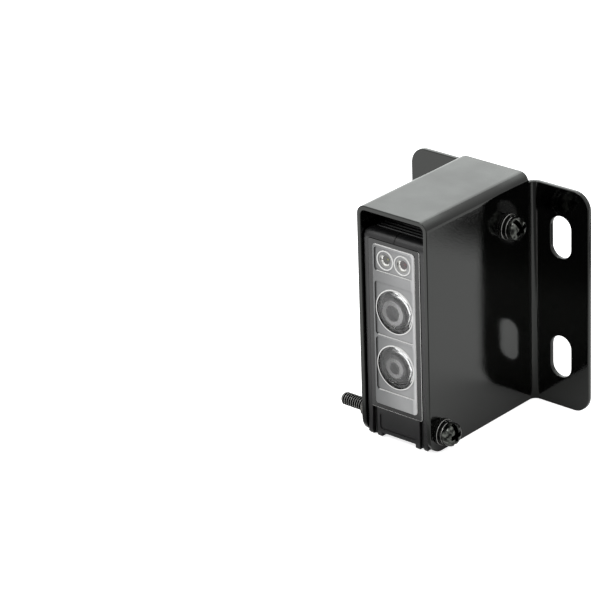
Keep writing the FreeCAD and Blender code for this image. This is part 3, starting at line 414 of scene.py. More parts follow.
# Rubber frames that seal the cover and the lid against the case.
# They are moulded in soft black rubber and lie squeezed in their grooves.
RUBBER_BLACK = (0.006, 0.006, 0.006, 1)
RUBBER_GREY = (0.013, 0.013, 0.013, 1)

soft_rubber = grained(
    "soft rubber", RUBBER_BLACK, RUBBER_GREY,
    grains=2500, patches=180, sheen=(0.55, 0.75), depth=0.012 * MM,
)
for seal in ("cover_gasket", "rear_gasket"):
    dress(seal, soft_rubber)

# Clear front cover, moulded in one piece with its lenses, lamp wells and sunk fields. Its plateau is
# sprayed grey from behind round the lenses, with painted light: lighter towards the right. Rims and
# lit edges take a light satin grey as painted highlight, and steps facing right a dark one as painted
# shade.
# The mould ripples the lenses inside their rims; each lens has a painted reflection of a bright ring.
# Each well ends in a cup with a painted highlight and a small window over its lamp with a painted glint.
ACRYLIC_DARK = (0.96, 0.97, 0.97, 1)
ACRYLIC_LIGHT = (0.99, 0.99, 0.99, 1)
ACRYLIC_IOR = 1.49
MASK_GREY = (0.1, 0.102, 0.103, 1)
MASK_LIGHT = (0.5, 0.503, 0.506, 1)
# Painted light on the sprayed grey: lighter towards the right, and a painted highlight at its right
# edge.
PAINTED_LIGHT_FADE = (-10 * MM, 5 * MM)
PAINTED_LIGHT_SHARE = (0, 0.35)
MASK_MOTTLE = (0.85, 1.1)
EDGE_HIGHLIGHT_FADE = (6.1 * MM, 7.2 * MM)
EDGE_HIGHLIGHT_SHARE = (0, 0.4)
LIP_GREY = (0.01, 0.01, 0.01, 1)
LIP_LIGHT = (0.022, 0.022, 0.022, 1)
# Painted highlight: the light satin grey that rims and lit roundings take.
HIGHLIGHT_SATIN_GREY = (0.52, 0.52, 0.51, 1)
HIGHLIGHT_SATIN_LIGHT = (0.68, 0.68, 0.67, 1)
# Painted reflection: a bright coat ring on each lens, moved off its axis.
RING_REFLECTION_IOR = 2.2
RING_REFLECTION_ROUGHNESS = 0.15
UPPER_RING_REFLECTION_SHIFT = (-0.7 * MM, -0.45 * MM)
UPPER_RING_REFLECTION_RADII = (2.3 * MM, 3.7 * MM)
LOWER_RING_REFLECTION_SHIFT = (-0.35 * MM, -0.2 * MM)
LOWER_RING_REFLECTION_RADII = (1.7 * MM, 3.0 * MM)
ACROSS_AXIS = (1.0, 0.0, 1.0)
RING_SOFTNESS = 0.35 * MM
# The lit side of the painted highlights and reflections in the lens and well rings.
LIT_LOWER_RIGHT = (0.8, 0.0, -0.6)
HIGHLIGHT_LEAN_REACH = (-4 * MM, 3 * MM)
HIGHLIGHT_LEAN_SHARE = (0.35, 1)
NO_SHIFT = (0, 0)
RIPPLE_PITCH = 0.8 * MM
WAVE_TEXTURE_PITCH = math.pi / 10
RIPPLE_WOBBLE = 4
WOBBLE_DETAIL = 1
WOBBLE_SCALE = 0.8
RIPPLE_DEPTH = 0.045 * MM
RIPPLE_RADII = (4.2 * MM, 6.6 * MM)
RIPPLE_LINES = (0.7, 0.92)
# Painted shade: thin dark lines along the tops of the lens ripples.
RIPPLE_SHADE_GREY = (0.02, 0.02, 0.02, 1)
# Painted glints: the lamp windows' colours, and a spot of the lamp's colour moved off the axis.
YELLOW_GLINT = ((0.08, 0.08, 0.07, 1), (0.14, 0.14, 0.12, 1))
YELLOW_SPOT_GLINT = (0.34, 0.34, 0.03, 1)
RED_GLINT = ((0.085, 0.075, 0.075, 1), (0.145, 0.12, 0.12, 1))
RED_SPOT_GLINT = (0.36, 0.03, 0.04, 1)
GLINT_SPOT_SHIFT = (0.6 * MM, 0.3 * MM)
GLINT_SPOT_RADII = (-0.4 * MM, 0.1 * MM)
WINDOW_CLEARNESS = 0.5
# Painted light on the well cones: a bright ring, strongest on the lower right.
CUP_SHADE = (0.2, 0.2, 0.19, 1)
CUP_GREY = (0.32, 0.32, 0.3, 1)
CUP_HIGHLIGHT = (0.9, 0.9, 0.87, 1)
CUP_HIGHLIGHT_RADII = (-0.4 * MM, 1.6 * MM)
PLATEAU_RISE = 0.4 * MM
FIELD_DEPTH = 0.5 * MM
EDGE_ROUNDING = 0.25 * MM
LIP_WIDTH = 1.75 * MM
LIP_LOW = 1.55 * MM
LIP_TOP = 1.3 * MM
LIP_EDGE = 0.1 * MM
COVER_EDGE = 0.04 * MM
COVER_SEGMENTS = 1
LENS_RIM = (6.6 * MM, 6.95 * MM)
WELL_RIM = (2.75 * MM, 3.05 * MM)
WELL_CONE = (1.35 * MM, 2.15 * MM)
LEVEL = 0.02 * MM
ROUNDING_TURN = 0.1
STEP_TURN = 0.3
ROUND_PROFILE = 0.5
CLEAR, SPRAYED, SATIN_HIGHLIGHT, LIP, UPPER_LENS, LOWER_LENS = range(6)
WINDOWS = (6, 7)
CUPS = (8, 9)


def calculate(tree, operation, first, second, **settings):
    """A sum, difference or product of two values."""
    step = add_node(tree, "ShaderNodeMath", operation=operation, **settings)
    feed(tree, step.inputs[0], first)
    feed(tree, step.inputs[1], second)
    return step.outputs["Value"]


def measure(tree, operation, *vectors):
    """A step of vector arithmetic; gives its outlets."""
    step = add_node(tree, "ShaderNodeVectorMath", operation=operation)
    for socket, vector in zip(step.inputs, vectors):
        feed(tree, socket, vector)
    return step.outputs


def coordinate(tree, kind, letter):
    """The X, Y or Z of one kind of coordinate."""
    place = add_node(tree, "ShaderNodeTexCoord")
    letters = add_node(tree, "ShaderNodeSeparateXYZ")
    tree.links.new(place.outputs[kind], letters.inputs["Vector"])
    return letters.outputs[letter]


def colour_blend(material):
    """The patches of a finish, and the socket through which they blend its two colours."""
    factor = shader_of(material)["Base Color"].links[0].from_node.inputs["Factor"]
    return factor.links[0].from_socket, factor


def from_axis(group, inlet):
    """Place on a piece, measured from an axis along Y that stands at a side and a height."""
    place = add_node(group, "ShaderNodeTexCoord")
    axis = add_node(group, "ShaderNodeCombineXYZ")
    group.links.new(inlet["Side"], axis.inputs["X"])
    group.links.new(inlet["Height"], axis.inputs["Z"])
    return measure(group, "SUBTRACT", place.outputs["Object"], axis.outputs["Vector"])["Vector"]


def lens_ring_group():
    """Mask of a ring round an axis along Y, stronger on its lower right, the lit side of the painted
    highlights and reflections that use it.
    """
    group, inlet, outlet = new_group(
        "lens ring", ("Side", "Height", "Inner radius", "Outer radius"), ("Ring",)
    )
    across = measure(group, "MULTIPLY", from_axis(group, inlet), ACROSS_AXIS)["Vector"]
    distance = measure(group, "LENGTH", across)["Value"]
    lean = measure(group, "DOT_PRODUCT", across, LIT_LOWER_RIGHT)["Value"]
    edges = []
    for radius in (inlet["Inner radius"], inlet["Outer radius"]):
        past_edge = calculate(group, "ADD", radius, RING_SOFTNESS)
        edges.append(spread(group, distance, (radius, past_edge)))
    ring = calculate(group, "SUBTRACT", *edges, use_clamp=True)
    strength = spread(group, lean, HIGHLIGHT_LEAN_REACH, HIGHLIGHT_LEAN_SHARE)
    group.links.new(calculate(group, "MULTIPLY", ring, strength), outlet["Ring"])
    return group


def lens_ripple_group():
    """Wavy rings that the mould leaves inside a lens rim: a height, and thin lines along its tops for
    painted shade.
    """
    group, inlet, outlet = new_group("lens ripple", ("Side", "Height", "Band"), ("Ripple", "Lines"))
    wave = add_node(group, "ShaderNodeTexWave", wave_type="RINGS", rings_direction="Y")
    group.links.new(from_axis(group, inlet), wave.inputs["Vector"])
    wave.inputs["Scale"].default_value = WAVE_TEXTURE_PITCH / RIPPLE_PITCH
    wave.inputs["Distortion"].default_value = RIPPLE_WOBBLE
    wave.inputs["Detail"].default_value = WOBBLE_DETAIL
    wave.inputs["Detail Scale"].default_value = WOBBLE_SCALE
    ripple = wave.outputs["Fac"]
    lines = spread(group, ripple, RIPPLE_LINES)
    for name, value in (("Ripple", ripple), ("Lines", lines)):
        group.links.new(calculate(group, "MULTIPLY", value, inlet["Band"]), outlet[name])
    return group


lens_ring = lens_ring_group()
lens_ripple = lens_ripple_group()


def ring_mask(material, axis, shift, radii):
    """Mask of a ring or spot round an axis along Y, moved by a shift."""
    return place_group(material.node_tree, lens_ring, {
        "Side": axis.x + shift[0],
        "Height": axis.z + shift[1],
        "Inner radius": radii[0],
        "Outer radius": radii[1],
    })["Ring"]


def tint(material, mask, colour):
    """Lays another colour over a finish where a mask says."""
    tree = material.node_tree
    base = shader_of(material)["Base Color"]
    blend = add_node(tree, "ShaderNodeMix", data_type="RGBA")
    blend.inputs["B"].default_value = colour
    tree.links.new(mask, blend.inputs["Factor"])
    tree.links.new(base.links[0].from_socket, blend.inputs["A"])
    tree.links.new(blend.outputs["Result"], base)


def clear_finish(name):
    """Clear acrylic, all but even."""
    return grained(
        name, ACRYLIC_DARK, ACRYLIC_LIGHT, grains=300, patches=90, sheen=(0.015, 0.035),
        plain={"Transmission Weight": 1, "IOR": ACRYLIC_IOR},
    )


def lens_finish(name, axis, shift, radii):
    """Clear lens with a painted reflection, a bright coat ring near its middle, rippled inside its rim
    with painted dark lines.
    """
    material = clear_finish(name)
    tree = material.node_tree
    shader = shader_of(material)
    # Painted reflection: a coat ring, moved off the axis and stronger on its lower right.
    shader["Coat IOR"].default_value = RING_REFLECTION_IOR
    shader["Coat Roughness"].default_value = RING_REFLECTION_ROUGHNESS
    tree.links.new(ring_mask(material, axis, shift, radii), shader["Coat Weight"])
    ripple = place_group(tree, lens_ripple, {
        "Side": axis.x,
        "Height": axis.z,
        "Band": ring_mask(material, axis, NO_SHIFT, RIPPLE_RADII),
    })
    # Painted shade: thin dark lines along the ripple tops.
    tint(material, ripple["Lines"], RIPPLE_SHADE_GREY)
    emboss(material, ripple["Ripple"], RIPPLE_DEPTH)
    return material


def sprayed_finish():
    """Grey coat under the clear skin, with painted light: lighter towards the right, and a painted
    highlight at its right edge.
    """
    material = grained(
        "grey under clear skin", MASK_GREY, MASK_LIGHT, grains=3000, patches=100, sheen=(0.1, 0.18)
    )
    tree = material.node_tree
    patch, factor = colour_blend(material)
    side = coordinate(tree, "Object", "X")
    painted_light_to_right = spread(tree, side, PAINTED_LIGHT_FADE, PAINTED_LIGHT_SHARE)
    painted_edge_highlight = spread(tree, side, EDGE_HIGHLIGHT_FADE, EDGE_HIGHLIGHT_SHARE)
    painted_lightness = calculate(tree, "ADD", painted_light_to_right, painted_edge_highlight)
    mottle = spread(tree, patch, PATCH_RANGE, MASK_MOTTLE)
    tree.links.new(calculate(tree, "MULTIPLY", painted_lightness, mottle), factor)
    return material


def window_finish(name, glint, spot, axis):
    """Part-clear window coloured as a painted glint of the lamp's dome, with a painted glint spot of the
    lamp's colour.
    """
    material = grained(
        name, *glint, grains=900, patches=700, sheen=(0.08, 0.16),
        plain={"Transmission Weight": WINDOW_CLEARNESS, "IOR": ACRYLIC_IOR},
    )
    tint(material, ring_mask(material, axis, GLINT_SPOT_SHIFT, GLINT_SPOT_RADII), spot)
    return material


def cup_finish(name, axis):
    """Cone of a lamp well, with a painted highlight that is brightest on its lower right."""
    material = grained(
        name, CUP_SHADE, CUP_GREY, grains=3000, patches=300, sheen=(0.2, 0.3), plain=METAL
    )
    tint(material, ring_mask(material, axis, NO_SHIFT, CUP_HIGHLIGHT_RADII), CUP_HIGHLIGHT)
    return material


def middle_of(box):
    """Middle of a box, from its lowest and highest corner."""
    low, high = box
    return (low + high) / 2


upper_axis = middle_of(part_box("receiver_filter"))
lower_axis = middle_of(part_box("emitter_filter"))
cover_finishes = [
    clear_finish("clear acrylic"),
    sprayed_finish(),
    grained(
        "painted highlight satin", HIGHLIGHT_SATIN_GREY, HIGHLIGHT_SATIN_LIGHT,
        grains=3000, patches=300, sheen=(0.2, 0.35), depth=0.002 * MM,
    ),
    grained(
        "clear lip over black seal", LIP_GREY, LIP_LIGHT, grains=3000, patches=150, sheen=(0.08, 0.16)
    ),
    lens_finish("upper lens", upper_axis, UPPER_RING_REFLECTION_SHIFT, UPPER_RING_REFLECTION_RADII),
    lens_finish("lower lens", lower_axis, LOWER_RING_REFLECTION_SHIFT, LOWER_RING_REFLECTION_RADII),
]
lamp_axes = [middle_of(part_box(lamp)) for lamp in ("yellow_indicator_led", "red_indicator_led")]
cover_finishes += [
    window_finish("yellow window", YELLOW_GLINT, YELLOW_SPOT_GLINT, lamp_axes[0]),
    window_finish("red window", RED_GLINT, RED_SPOT_GLINT, lamp_axes[1]),
    cup_finish("yellow cup", lamp_axes[0]),
    cup_finish("red cup", lamp_axes[1]),
]

cover_low, cover_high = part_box("front_cover")
cover_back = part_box("cover_gasket")[0].y
lip_level = cover_low.y + PLATEAU_RISE
field_level = cover_low.y + FIELD_DEPTH
plateau_half = cover_high.x - LIP_WIDTH
plateau_low = cover_low.z + LIP_LOW
plateau_top = cover_high.z - LIP_TOP


def reach(face, axis):
    """Nearest and farthest corner of a face from an axis along Y."""
    distances = [math.hypot(corner.co.x - axis.x, corner.co.z - axis.z) for corner in face.verts]
    return min(distances), max(distances)


def between(face, axis, radii):
    """Whether a face lies wholly between two radii round an axis."""
    nearest, farthest = reach(face, axis)
    return nearest > radii[0] - LEVEL and farthest < radii[1] + LEVEL


def on_plateau(place):
    """Whether a point lies inside the outline of the plateau."""
    upright = plateau_low - LEVEL < place.z < plateau_top + LEVEL
    return upright and abs(place.x) < plateau_half + LEVEL


def cover_finish(face):
    """Which finish of the cover a face takes, from where it lies."""
    depths = [corner.co.y for corner in face.verts]
    step = max(depths) - min(depths)
    in_front = max(depths) < field_level + LEVEL
    # Painted highlight: the rims round the lenses and the wells take the light satin grey.
    for axis, own_lens in ((upper_axis, UPPER_LENS), (lower_axis, LOWER_LENS)):
        if reach(face, axis)[1] < LENS_RIM[0] + LEVEL:
            return own_lens if in_front else CLEAR
        if in_front and between(face, axis, LENS_RIM):
            return SATIN_HIGHLIGHT
    for axis, own_window, own_cup in zip(lamp_axes, WINDOWS, CUPS):
        if in_front and between(face, axis, WELL_RIM):
            return SATIN_HIGHLIGHT
        if reach(face, axis)[1] < WELL_CONE[1] + LEVEL and max(depths) < cover_back - LEVEL:
            # Painted light: cone faces turned up and to the right take the bright cup, the others take
            # the grey coat as painted shade.
            if step > LEVEL and between(face, axis, WELL_CONE):
                return own_cup if face.normal.x + face.normal.z > 0 else SPRAYED
            return own_window
    if in_front and all(on_plateau(corner.co) for corner in face.verts):
        # Painted shade: steps that face right take the dark lip finish. Painted highlight: roundings
        # turned up and to the right, and steps that face up, take the light satin grey.
        if step > EDGE_ROUNDING and face.normal.x > STEP_TURN:
            return LIP
        rounded = LEVEL < step < EDGE_ROUNDING and face.normal.x + face.normal.z > ROUNDING_TURN
        lit_step = step > EDGE_ROUNDING and face.normal.z > STEP_TURN
        return SATIN_HIGHLIGHT if rounded or lit_step else SPRAYED
    return LIP


def round_edges(bm, edges, width, finish):
    """Rounds some edges of a form; gives the new faces, which take a finish."""
    rounding = bmesh.ops.bevel(
        bm, geom=edges, offset=width, segments=ROUND_SEGMENTS, profile=ROUND_PROFILE,
        affect="EDGES", material=finish,
    )
    return rounding["faces"]


cover_form = clean_form("front_cover")
for face in cover_form.faces:
    face.material_index = cover_finish(face)
lip_edges = []
for edge in cover_form.edges:
    at_lip = all(abs(corner.co.y - lip_level) < LEVEL for corner in edge.verts)
    if at_lip and edge.calc_face_angle(0) > SHARP_OVER and not on_plateau(edge.verts[0].co):
        lip_edges.append(edge)
lip_faces = round_edges(cover_form, lip_edges, LIP_EDGE, LIP)
cover_form.normal_update()
# Painted highlight: the lip's roundings that face right or down take the light satin grey.
for face in lip_faces:
    if face.normal.x > STEP_TURN or face.normal.z < -STEP_TURN:
        face.material_index = SATIN_HIGHLIGHT
mark_roundings(cover_form, COVER_EDGE)
cover = soften(smooth_mesh("front_cover_finished", cover_form), COVER_EDGE, COVER_SEGMENTS)
stand_in(cover, "front_cover", cover_finishes)

# Lid at the back of the case, of the same black moulding, with four small plated screws
# and the rubber inlet where a cable comes out.
LID_EDGE = 0.2 * MM
SCREW_EDGE = 0.12 * MM
INLET_EDGE = 0.25 * MM

finished_copy("rear_cover", LID_EDGE, moulded_black)
finished_copy("rear_cover_screws", SCREW_EDGE, plated_metal)
finished_copy("cable_grommet", INLET_EDGE, soft_rubber)

# Hood bracket: one sheet of steel, cut, folded into roof, legs and wall flanges, and coated in
# gloss black powder, which flows into a faint orange peel. A little dust greys what faces up.
# Its flanges are parted at the slots' middles, so that their flat faces shade evenly.
HOOD_BLACK = (0.0002, 0.0002, 0.0002, 1)
HOOD_GREY = (0.05, 0.054, 0.052, 1)
HOOD_GLOSS_TINT = (0.97, 1, 0.96, 1)
FACING_UP = (0.5, 0.95)
DUST_PATCHES = (0.3, 0.75)
HOOD_EDGE = 0.35 * MM
HOOD_SEGMENTS = 3
SLOT_SIDE = 23 * MM


def powder_finish():
    """Gloss black powder coat, with patches of dust where it faces up."""
    material = grained(
        "gloss black powder coat", HOOD_BLACK, HOOD_GREY,
        grains=2200, patches=60, sheen=(0.04, 0.1), depth=0.013 * MM,
        plain={"Specular Tint": HOOD_GLOSS_TINT},
    )
    tree = material.node_tree
    patch, factor = colour_blend(material)
    facing_up = spread(tree, coordinate(tree, "Normal", "Z"), FACING_UP)
    dusty = spread(tree, patch, DUST_PATCHES)
    tree.links.new(calculate(tree, "MULTIPLY", facing_up, dusty), factor)
    return material


finished_copy(
    "hood_bracket", HOOD_EDGE, powder_finish(),
    segments=HOOD_SEGMENTS, cuts=(-SLOT_SIDE, SLOT_SIDE),
)

# Clamp screws, of steel blackened in an oxide bath: rolled thread, pan head with a slot and a
# cross pressed into it. They go through legs and case and pull the legs on to it.
OXIDE_DARK = (0.012, 0.0125, 0.012, 1)
OXIDE_LIGHT = (0.12, 0.127, 0.115, 1)
OXIDE_EVEN = (0.04, 0.04, 0.037, 1)
OXIDE_MOTTLE = (0.35, 0.65)
# Painted highlight on the thread crests, partly wear, and painted shade in the thread roots.
CREST_DARK = (0.3, 0.3, 0.29, 1)
CREST_LIGHT = (0.5, 0.5, 0.48, 1)
ROOT_SHADE_BLACK = (0.001, 0.001, 0.001, 1)
ROOT_SHADE_GREY = (0.003, 0.003, 0.003, 1)
ROOT_SHADE_GLOSS = 0.04
SCREW_RADIUS = 2.0 * MM
THREAD_PITCH = 0.8 * MM
THREAD_DEPTH = 0.4 * MM
THREAD_LENGTH = 12 * MM
THREAD_CORE = SCREW_RADIUS - THREAD_DEPTH
WORN_HIGHLIGHT_FROM = 0.9
CREST_SLOPE = 2.2
ROWS_PER_TURN = 16
TIP_CHAMFER = 0.5 * MM
HEAD_RADIUS = 3.6 * MM
HEAD_CHAMFER = 0.18 * MM
HEAD_STEPS = 10
HEAD_HEIGHT = 3.2 * MM
HEAD_SIDE = 1.5 * MM
CROWN_RADIUS = 1.2 * MM
SLOT_WIDTH = 1.5 * MM
SLOT_DEPTH = 1.7 * MM
CROSS_LENGTH = 4.4 * MM
CROSS_DEPTH = 2.1 * MM
RECESS_EDGE = 0.09 * MM
RECESS_STEP = 0.02 * MM
COLUMNS = 48
UPPER_TURN = math.radians(27)
LOWER_TURN = math.radians(3)
BLACKENED, WORN_HIGHLIGHT, SHADED_ROOT = range(3)


def black_oxide_finish():
    """Black oxide of the screws, clearly mottled."""
    material = grained(
        "black oxide steel", OXIDE_DARK, OXIDE_LIGHT,
        grains=1300, patches=900, sheen=(0.1, 0.24), depth=0.045 * MM, plain=METAL,
    )
    patch, factor = colour_blend(material)
    material.node_tree.links.new(spread(material.node_tree, patch, OXIDE_MOTTLE), factor)
    return material


def turned(stations):
    """A turned body about X from (place, radius) stations; a radius may vary round the axis."""
    bm = bmesh.new()
    rings = []
    for place, radius in stations:
        ring = []
        for column in range(COLUMNS):
            angle = 2 * math.pi * column / COLUMNS
            out = radius(angle) if callable(radius) else radius
            ring.append(bm.verts.new((place, out * math.cos(angle), out * math.sin(angle))))
        rings.append(ring)
    for near, far in zip(rings, rings[1:]):
        for column in range(COLUMNS):
            after = (column + 1) % COLUMNS
            bm.faces.new((near[column], far[column], far[after], near[after]))
    bm.faces.new(rings[0])
    bm.faces.new(list(reversed(rings[-1])))
    return bm


def thread_radius(along, angle):
    """Radius of the rolled thread at a way along from the tip and an angle round the axis."""
    phase = (along / THREAD_PITCH + angle / (2 * math.pi)) % 1
    rise = min(1, CREST_SLOPE * min(phase, 1 - phase))
    chamfer = THREAD_CORE - TIP_CHAMFER / 2 + along
    return min(THREAD_CORE + THREAD_DEPTH * rise, chamfer)


def shank_stations(tip, seat):
    """Outline of the shank from its tip to the head's seat, with a rolled thread on its end."""
    stations = []
    for row in range(int(THREAD_LENGTH / THREAD_PITCH * ROWS_PER_TURN) + 1):
        along = row * THREAD_PITCH / ROWS_PER_TURN
        stations.append((tip + along, partial(thread_radius, along)))
    stations.append((stations[-1][0] + THREAD_PITCH, SCREW_RADIUS))
    stations.append((seat, SCREW_RADIUS))
    return stations


def head_stations(seat):
    """Outline of the pan head from its seat to its crown."""
    stations = [(seat, HEAD_RADIUS - HEAD_CHAMFER), (seat + HEAD_CHAMFER, HEAD_RADIUS)]
    for step in range(HEAD_STEPS + 1):
        angle = math.pi / 2 * step / HEAD_STEPS
        place = seat + HEAD_SIDE + (HEAD_HEIGHT - HEAD_SIDE) * math.sin(angle)
        stations.append((place, CROWN_RADIUS + (HEAD_RADIUS - CROWN_RADIUS) * math.cos(angle)))
    return stations


def bar(low, high):
    """A square-cornered form between two corners."""
    bm = bmesh.new()
    corners = (Vector(low), Vector(high))
    size = corners[1] - corners[0]
    place = Matrix.Translation(middle_of(corners)) @ Matrix.Diagonal((*size, 1))
    bmesh.ops.create_cube(bm, size=1, matrix=place)
    return bm


def cut_screw(tip, seat, turn):
    """A whole screw about X, with a slot across its head and a deeper cross in the middle of it."""
    body = smooth_mesh("screw", turned(shank_stations(tip, seat) + head_stations(seat)))
    top = seat + HEAD_HEIGHT
    above = top + HEAD_HEIGHT
    beyond = 2 * HEAD_RADIUS
    half = SLOT_WIDTH / 2
    cross = CROSS_LENGTH / 2
    cutters = []
    for low, high in (
        ((top - SLOT_DEPTH, -half, -beyond), (above, half, beyond)),
        ((top - CROSS_DEPTH, -half - RECESS_STEP, -cross), (above, half + RECESS_STEP, cross)),
        ((top - CROSS_DEPTH - RECESS_STEP, -cross, -half), (above, cross, half)),
    ):
        cutter_form = bar(low, high)
        cutter_form.transform(Matrix.Rotation(turn, 4, "X"))
        cutter = smooth_mesh("cutter", cutter_form)
        recess = body.modifiers.new("recess", "BOOLEAN")
        recess.operation = "DIFFERENCE"
        recess.solver = "EXACT"
        recess.object = cutter
        cutters.append(cutter)
    screw = bmesh.new()
    screw.from_mesh(body.evaluated_get(bpy.context.evaluated_depsgraph_get()).to_mesh())
    for scrap in [body, *cutters]:
        scrap_mesh = scrap.data
        bpy.data.objects.remove(scrap)
        bpy.data.meshes.remove(scrap_mesh)
    return screw


def on_head(place, seat):
    """Whether a point of a screw lies on its head, clear of the foot of its shank."""
    beside_shank = math.hypot(place.y, place.z) > SCREW_RADIUS + LEVEL
    return place.x > seat + LEVEL or (beside_shank and place.x > seat - LEVEL)


def finish_screw(screw, tip, seat):
    """Rounds the edges of the head, and marks the thread's crests as worn with a painted highlight and
    its roots with painted shade.
    """
    head_edges = []
    for edge in screw.edges:
        sharp = edge.calc_face_angle(0) > SHARP_OVER
        if sharp and all(on_head(corner.co, seat) for corner in edge.verts):
            head_edges.append(edge)
    round_edges(screw, head_edges, RECESS_EDGE, BLACKENED)
    for face in screw.faces:
        middle = face.calc_center_median()
        face.material_index = BLACKENED
        if tip < middle.x < tip + THREAD_LENGTH:
            worn = math.hypot(middle.y, middle.z) > THREAD_CORE + THREAD_DEPTH * WORN_HIGHLIGHT_FROM
            face.material_index = WORN_HIGHLIGHT if worn else SHADED_ROOT


def add_form(bm, part, matrix):
    """Adds finished geometry to a larger form, at its place."""
    part.transform(matrix)
    mesh = bpy.data.meshes.new("part")
    part.to_mesh(mesh)
    part.free()
    bm.from_mesh(mesh)
    bpy.data.meshes.remove(mesh)


# Crests: wear and painted highlight, lighter than the oxide. Roots: painted shade, near black with
# almost no gloss.
worn_lit_crest = grained(
    "worn and lit thread crest", CREST_DARK, CREST_LIGHT,
    grains=2600, patches=400, sheen=(0.25, 0.35), plain=METAL,
)
shaded_thread_root = grained(
    "shaded thread root", ROOT_SHADE_BLACK, ROOT_SHADE_GREY, grains=2600, patches=400, sheen=(0.7, 0.8),
    plain={"Specular IOR Level": ROOT_SHADE_GLOSS},
)
screws_low, screws_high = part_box("clamp_screws")
head_seat = screws_high.x - HEAD_HEIGHT
screw_axes = (
    (screws_low.y + HEAD_RADIUS, screws_low.z + HEAD_RADIUS, LOWER_TURN),
    (screws_high.y - HEAD_RADIUS, screws_high.z - HEAD_RADIUS, UPPER_TURN),
)
screw_form = bmesh.new()
for axis_y, axis_z, turn in screw_axes:
    screw = cut_screw(screws_low.x, head_seat, turn)
    finish_screw(screw, screws_low.x, head_seat)
    add_form(screw_form, screw, Matrix.Translation((0, axis_y, axis_z)))
bmesh.ops.recalc_face_normals(screw_form, faces=screw_form.faces)
screws = smooth_mesh("clamp_screws_finished", screw_form)
screws.data.set_sharp_from_angle(angle=SHARP_OVER)
stand_in(screws, "clamp_screws", [black_oxide_finish(), worn_lit_crest, shaded_thread_root])

# Washers and nuts of the clamp screws, pressed and cut from blackened steel, their edges light with wear
# and painted highlight.
# The flat and split washers lie under the heads, the nuts on the other leg.
WASHER_EDGE = 0.1 * MM
NUT_DARK = (0.06, 0.058, 0.053, 1)
NUT_LIGHT = (0.2, 0.195, 0.18, 1)

washer_oxide = grained(
    "dark oxide steel", OXIDE_DARK, OXIDE_EVEN,
    grains=1400, patches=900, sheen=(0.2, 0.35), depth=0.005 * MM, plain=METAL,
)
nut_oxide = grained(
    "nut oxide", NUT_DARK, NUT_LIGHT,
    grains=1300, patches=900, sheen=(0.2, 0.35), depth=0.02 * MM, plain=METAL,
)
fasteners = {"flat_washers": washer_oxide, "spring_washers": washer_oxide, "hex_nuts": nut_oxide}
for fastener, oxide in fasteners.items():
    fastener_copy = finished_copy(fastener, WASHER_EDGE, oxide)
    # Their roundings take the worn crest finish: wear and painted highlight.
    fastener_copy.data.materials.append(worn_lit_crest)
    fastener_copy.modifiers["rounded edges"].material = WORN_HIGHLIGHT

# Studio table: a plain pale sheet under the part, wide enough to fill the view.
# The camera sees it a little lighter than it is, as a light table behind the sheet shows it.
TABLE_HALF = 3.0
TABLE_WHITE = (0.8, 0.8, 0.8, 1)
TABLE_SHADE = (0.78, 0.78, 0.78, 1)
TABLE_GLOW = 0.75

table_form = bmesh.new()
bmesh.ops.create_grid(table_form, x_segments=1, y_segments=1, size=TABLE_HALF)
table = smooth_mesh("table", table_form)
pale_table = grained("pale table", TABLE_SHADE, TABLE_WHITE, grains=200, patches=3, sheen=(0.8, 0.9))
table_tree = pale_table.node_tree
to_camera = add_node(table_tree, "ShaderNodeLightPath").outputs["Is Camera Ray"]
table_glow = calculate(table_tree, "MULTIPLY", to_camera, TABLE_GLOW)
table_tree.links.new(table_glow, shader_of(pale_table)["Emission Strength"])
table.data.materials.append(pale_table)

# Cards that lie on the table out of sight: a dark one behind and a grey one in front to the right,
# a white and a small dark one in front. Only the gloss of the part mirrors them, so the dark and grey
# ones put painted shade into it, and the white one, which glows, a painted reflection. Each fades in
# from its start to where it is full.
CARD_LIFT = 1 * MM
CARDS = {
    "dark_card": {"sides": (0.05, 0.12), "depths": (0.088, 0.118, 0.15), "density": 0.95, "glow": 0},
    "grey_card": {"sides": (0.02, 0.4), "depths": (-0.03, -0.06, -0.4), "density": 0.8, "glow": 0},
    "white_card": {"sides": (-0.5, 0.02), "depths": (-0.045, -0.1, -0.5), "density": 0.8, "glow": 1.8},
    "near_card": {"sides": (-0.1, 0.02), "depths": (-0.045, -0.036, -0.0262), "density": 0.6, "glow": 0},
}

for card_name, card_facts in CARDS.items():
    left, right = card_facts["sides"]
    start, full, end = card_facts["depths"]
    card_form = bmesh.new()
    card_outline = ((left, start), (right, start), (right, end), (left, end))
    card_form.faces.new([card_form.verts.new((side, depth, CARD_LIFT)) for side, depth in card_outline])
    card = smooth_mesh(card_name, card_form)
    # A dark card puts painted shade into what the gloss mirrors; the glowing white card puts in a
    # painted reflection.
    card_felt = grained(
        card_name, BLOCK_BLACK, BLOCK_GREY, grains=400, patches=50, sheen=(0.8, 0.9),
        plain={"Emission Strength": card_facts["glow"]},
    )
    felt_tree = card_felt.node_tree
    felt_depth = coordinate(felt_tree, "Object", "Y")
    felt_fade = spread(felt_tree, felt_depth, (start, full), (0, card_facts["density"]))
    felt_tree.links.new(felt_fade, shader_of(card_felt)["Alpha"])
    card.data.materials.append(card_felt)
    card.visible_camera = False
    card.visible_diffuse = False
    card.visible_transmission = False
    card.visible_shadow = False

# Studio light: a white room that is brighter overhead, a large soft panel behind the part, which
# the roof mirrors, and a smaller one in front and above, which picks out the edges.
# A line gives a panel's place, its width and height, its brightness and its colour.
ROOM_WHITE = (1, 1, 1, 1)
ROOM_STRENGTH = (0.75, 1.45)
LEVEL_TO_OVERHEAD = (0, 1)
PANELS = {
    "back panel": ((-0.62, 0.70, 0.45), (1.1, 0.8), 1.32, (0.96, 1, 0.98)),
    "front panel": ((-0.25, -0.7, 0.95), (0.5, 0.4), 7.0, (1, 1, 1)),
}

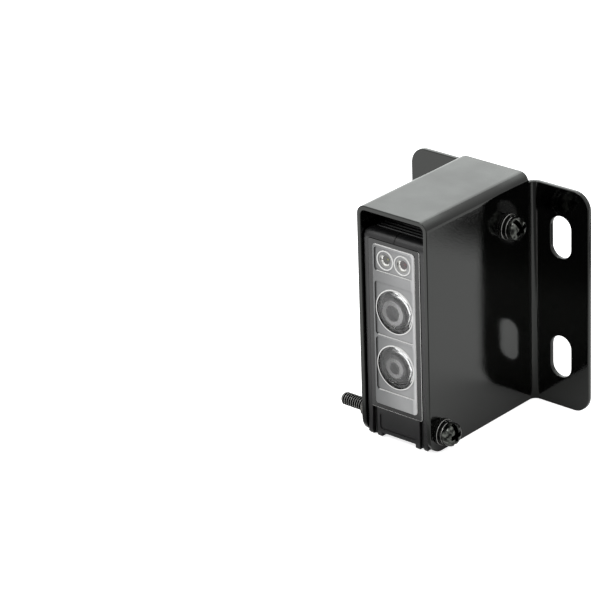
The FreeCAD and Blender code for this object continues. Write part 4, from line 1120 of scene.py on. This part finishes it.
room = bpy.data.worlds.new("studio room")
room.use_nodes = True
room_light = room.node_tree.nodes["Background"].inputs
room_light["Color"].default_value = ROOM_WHITE
room_height = coordinate(room.node_tree, "Generated", "Z")
room_strength = spread(room.node_tree, room_height, LEVEL_TO_OVERHEAD, ROOM_STRENGTH)
room.node_tree.links.new(room_strength, room_light["Strength"])
bpy.context.scene.world = room
for panel_name, (place, (width, height), brightness, colour) in PANELS.items():
    lamp = bpy.data.lights.new(panel_name, "AREA")
    lamp.color = colour
    lamp.shape = "RECTANGLE"
    lamp.size = width
    lamp.size_y = height
    lamp.energy = brightness * math.pi * width * height
    panel = bpy.data.objects.new(panel_name, lamp)
    panel.location = place
    panel.rotation_euler = (middle_of(cad_box) - Vector(place)).to_track_quat("-Z", "Y").to_euler()
    panel.visible_camera = False
    bpy.context.scene.collection.objects.link(panel)

# Camera at the photograph's place: to the right of the part and above it, far off with a long lens.
# It is rolled a little, and it looks past the part, which stands right of the picture's middle.
VIEW_AZIMUTH = math.radians(41.53)
VIEW_ELEVATION = math.radians(24.35)
VIEW_ROLL = math.radians(-2.03)
VIEW_DISTANCE = 1.045
VIEW_AIM = Vector((0, -0.00175, 0.03744))
AIM_RIGHT_OF_MIDDLE = 0.0428
AIM_ABOVE_MIDDLE = -0.00074
LENS_LENGTH = 212.57

toward = Vector((
    math.sin(VIEW_AZIMUTH) * math.cos(VIEW_ELEVATION),
    -math.cos(VIEW_AZIMUTH) * math.cos(VIEW_ELEVATION),
    math.sin(VIEW_ELEVATION),
))
level_right = (-toward).cross(Vector((0, 0, 1))).normalized()
level_up = level_right.cross(-toward)
view_right = math.cos(VIEW_ROLL) * level_right + math.sin(VIEW_ROLL) * level_up
view_up = math.cos(VIEW_ROLL) * level_up - math.sin(VIEW_ROLL) * level_right
stand = VIEW_AIM + toward * VIEW_DISTANCE - view_right * AIM_RIGHT_OF_MIDDLE - view_up * AIM_ABOVE_MIDDLE
camera_body = bpy.data.cameras.new("camera")
camera_body.lens = LENS_LENGTH
camera = bpy.data.objects.new("camera", camera_body)
view_axes = Matrix((view_right, view_up, toward)).transposed().to_4x4()
camera.matrix_world = Matrix.Translation(stand) @ view_axes
bpy.context.scene.collection.objects.link(camera)
bpy.context.scene.camera = camera
bpy.context.scene.view_settings.view_transform = "Standard"
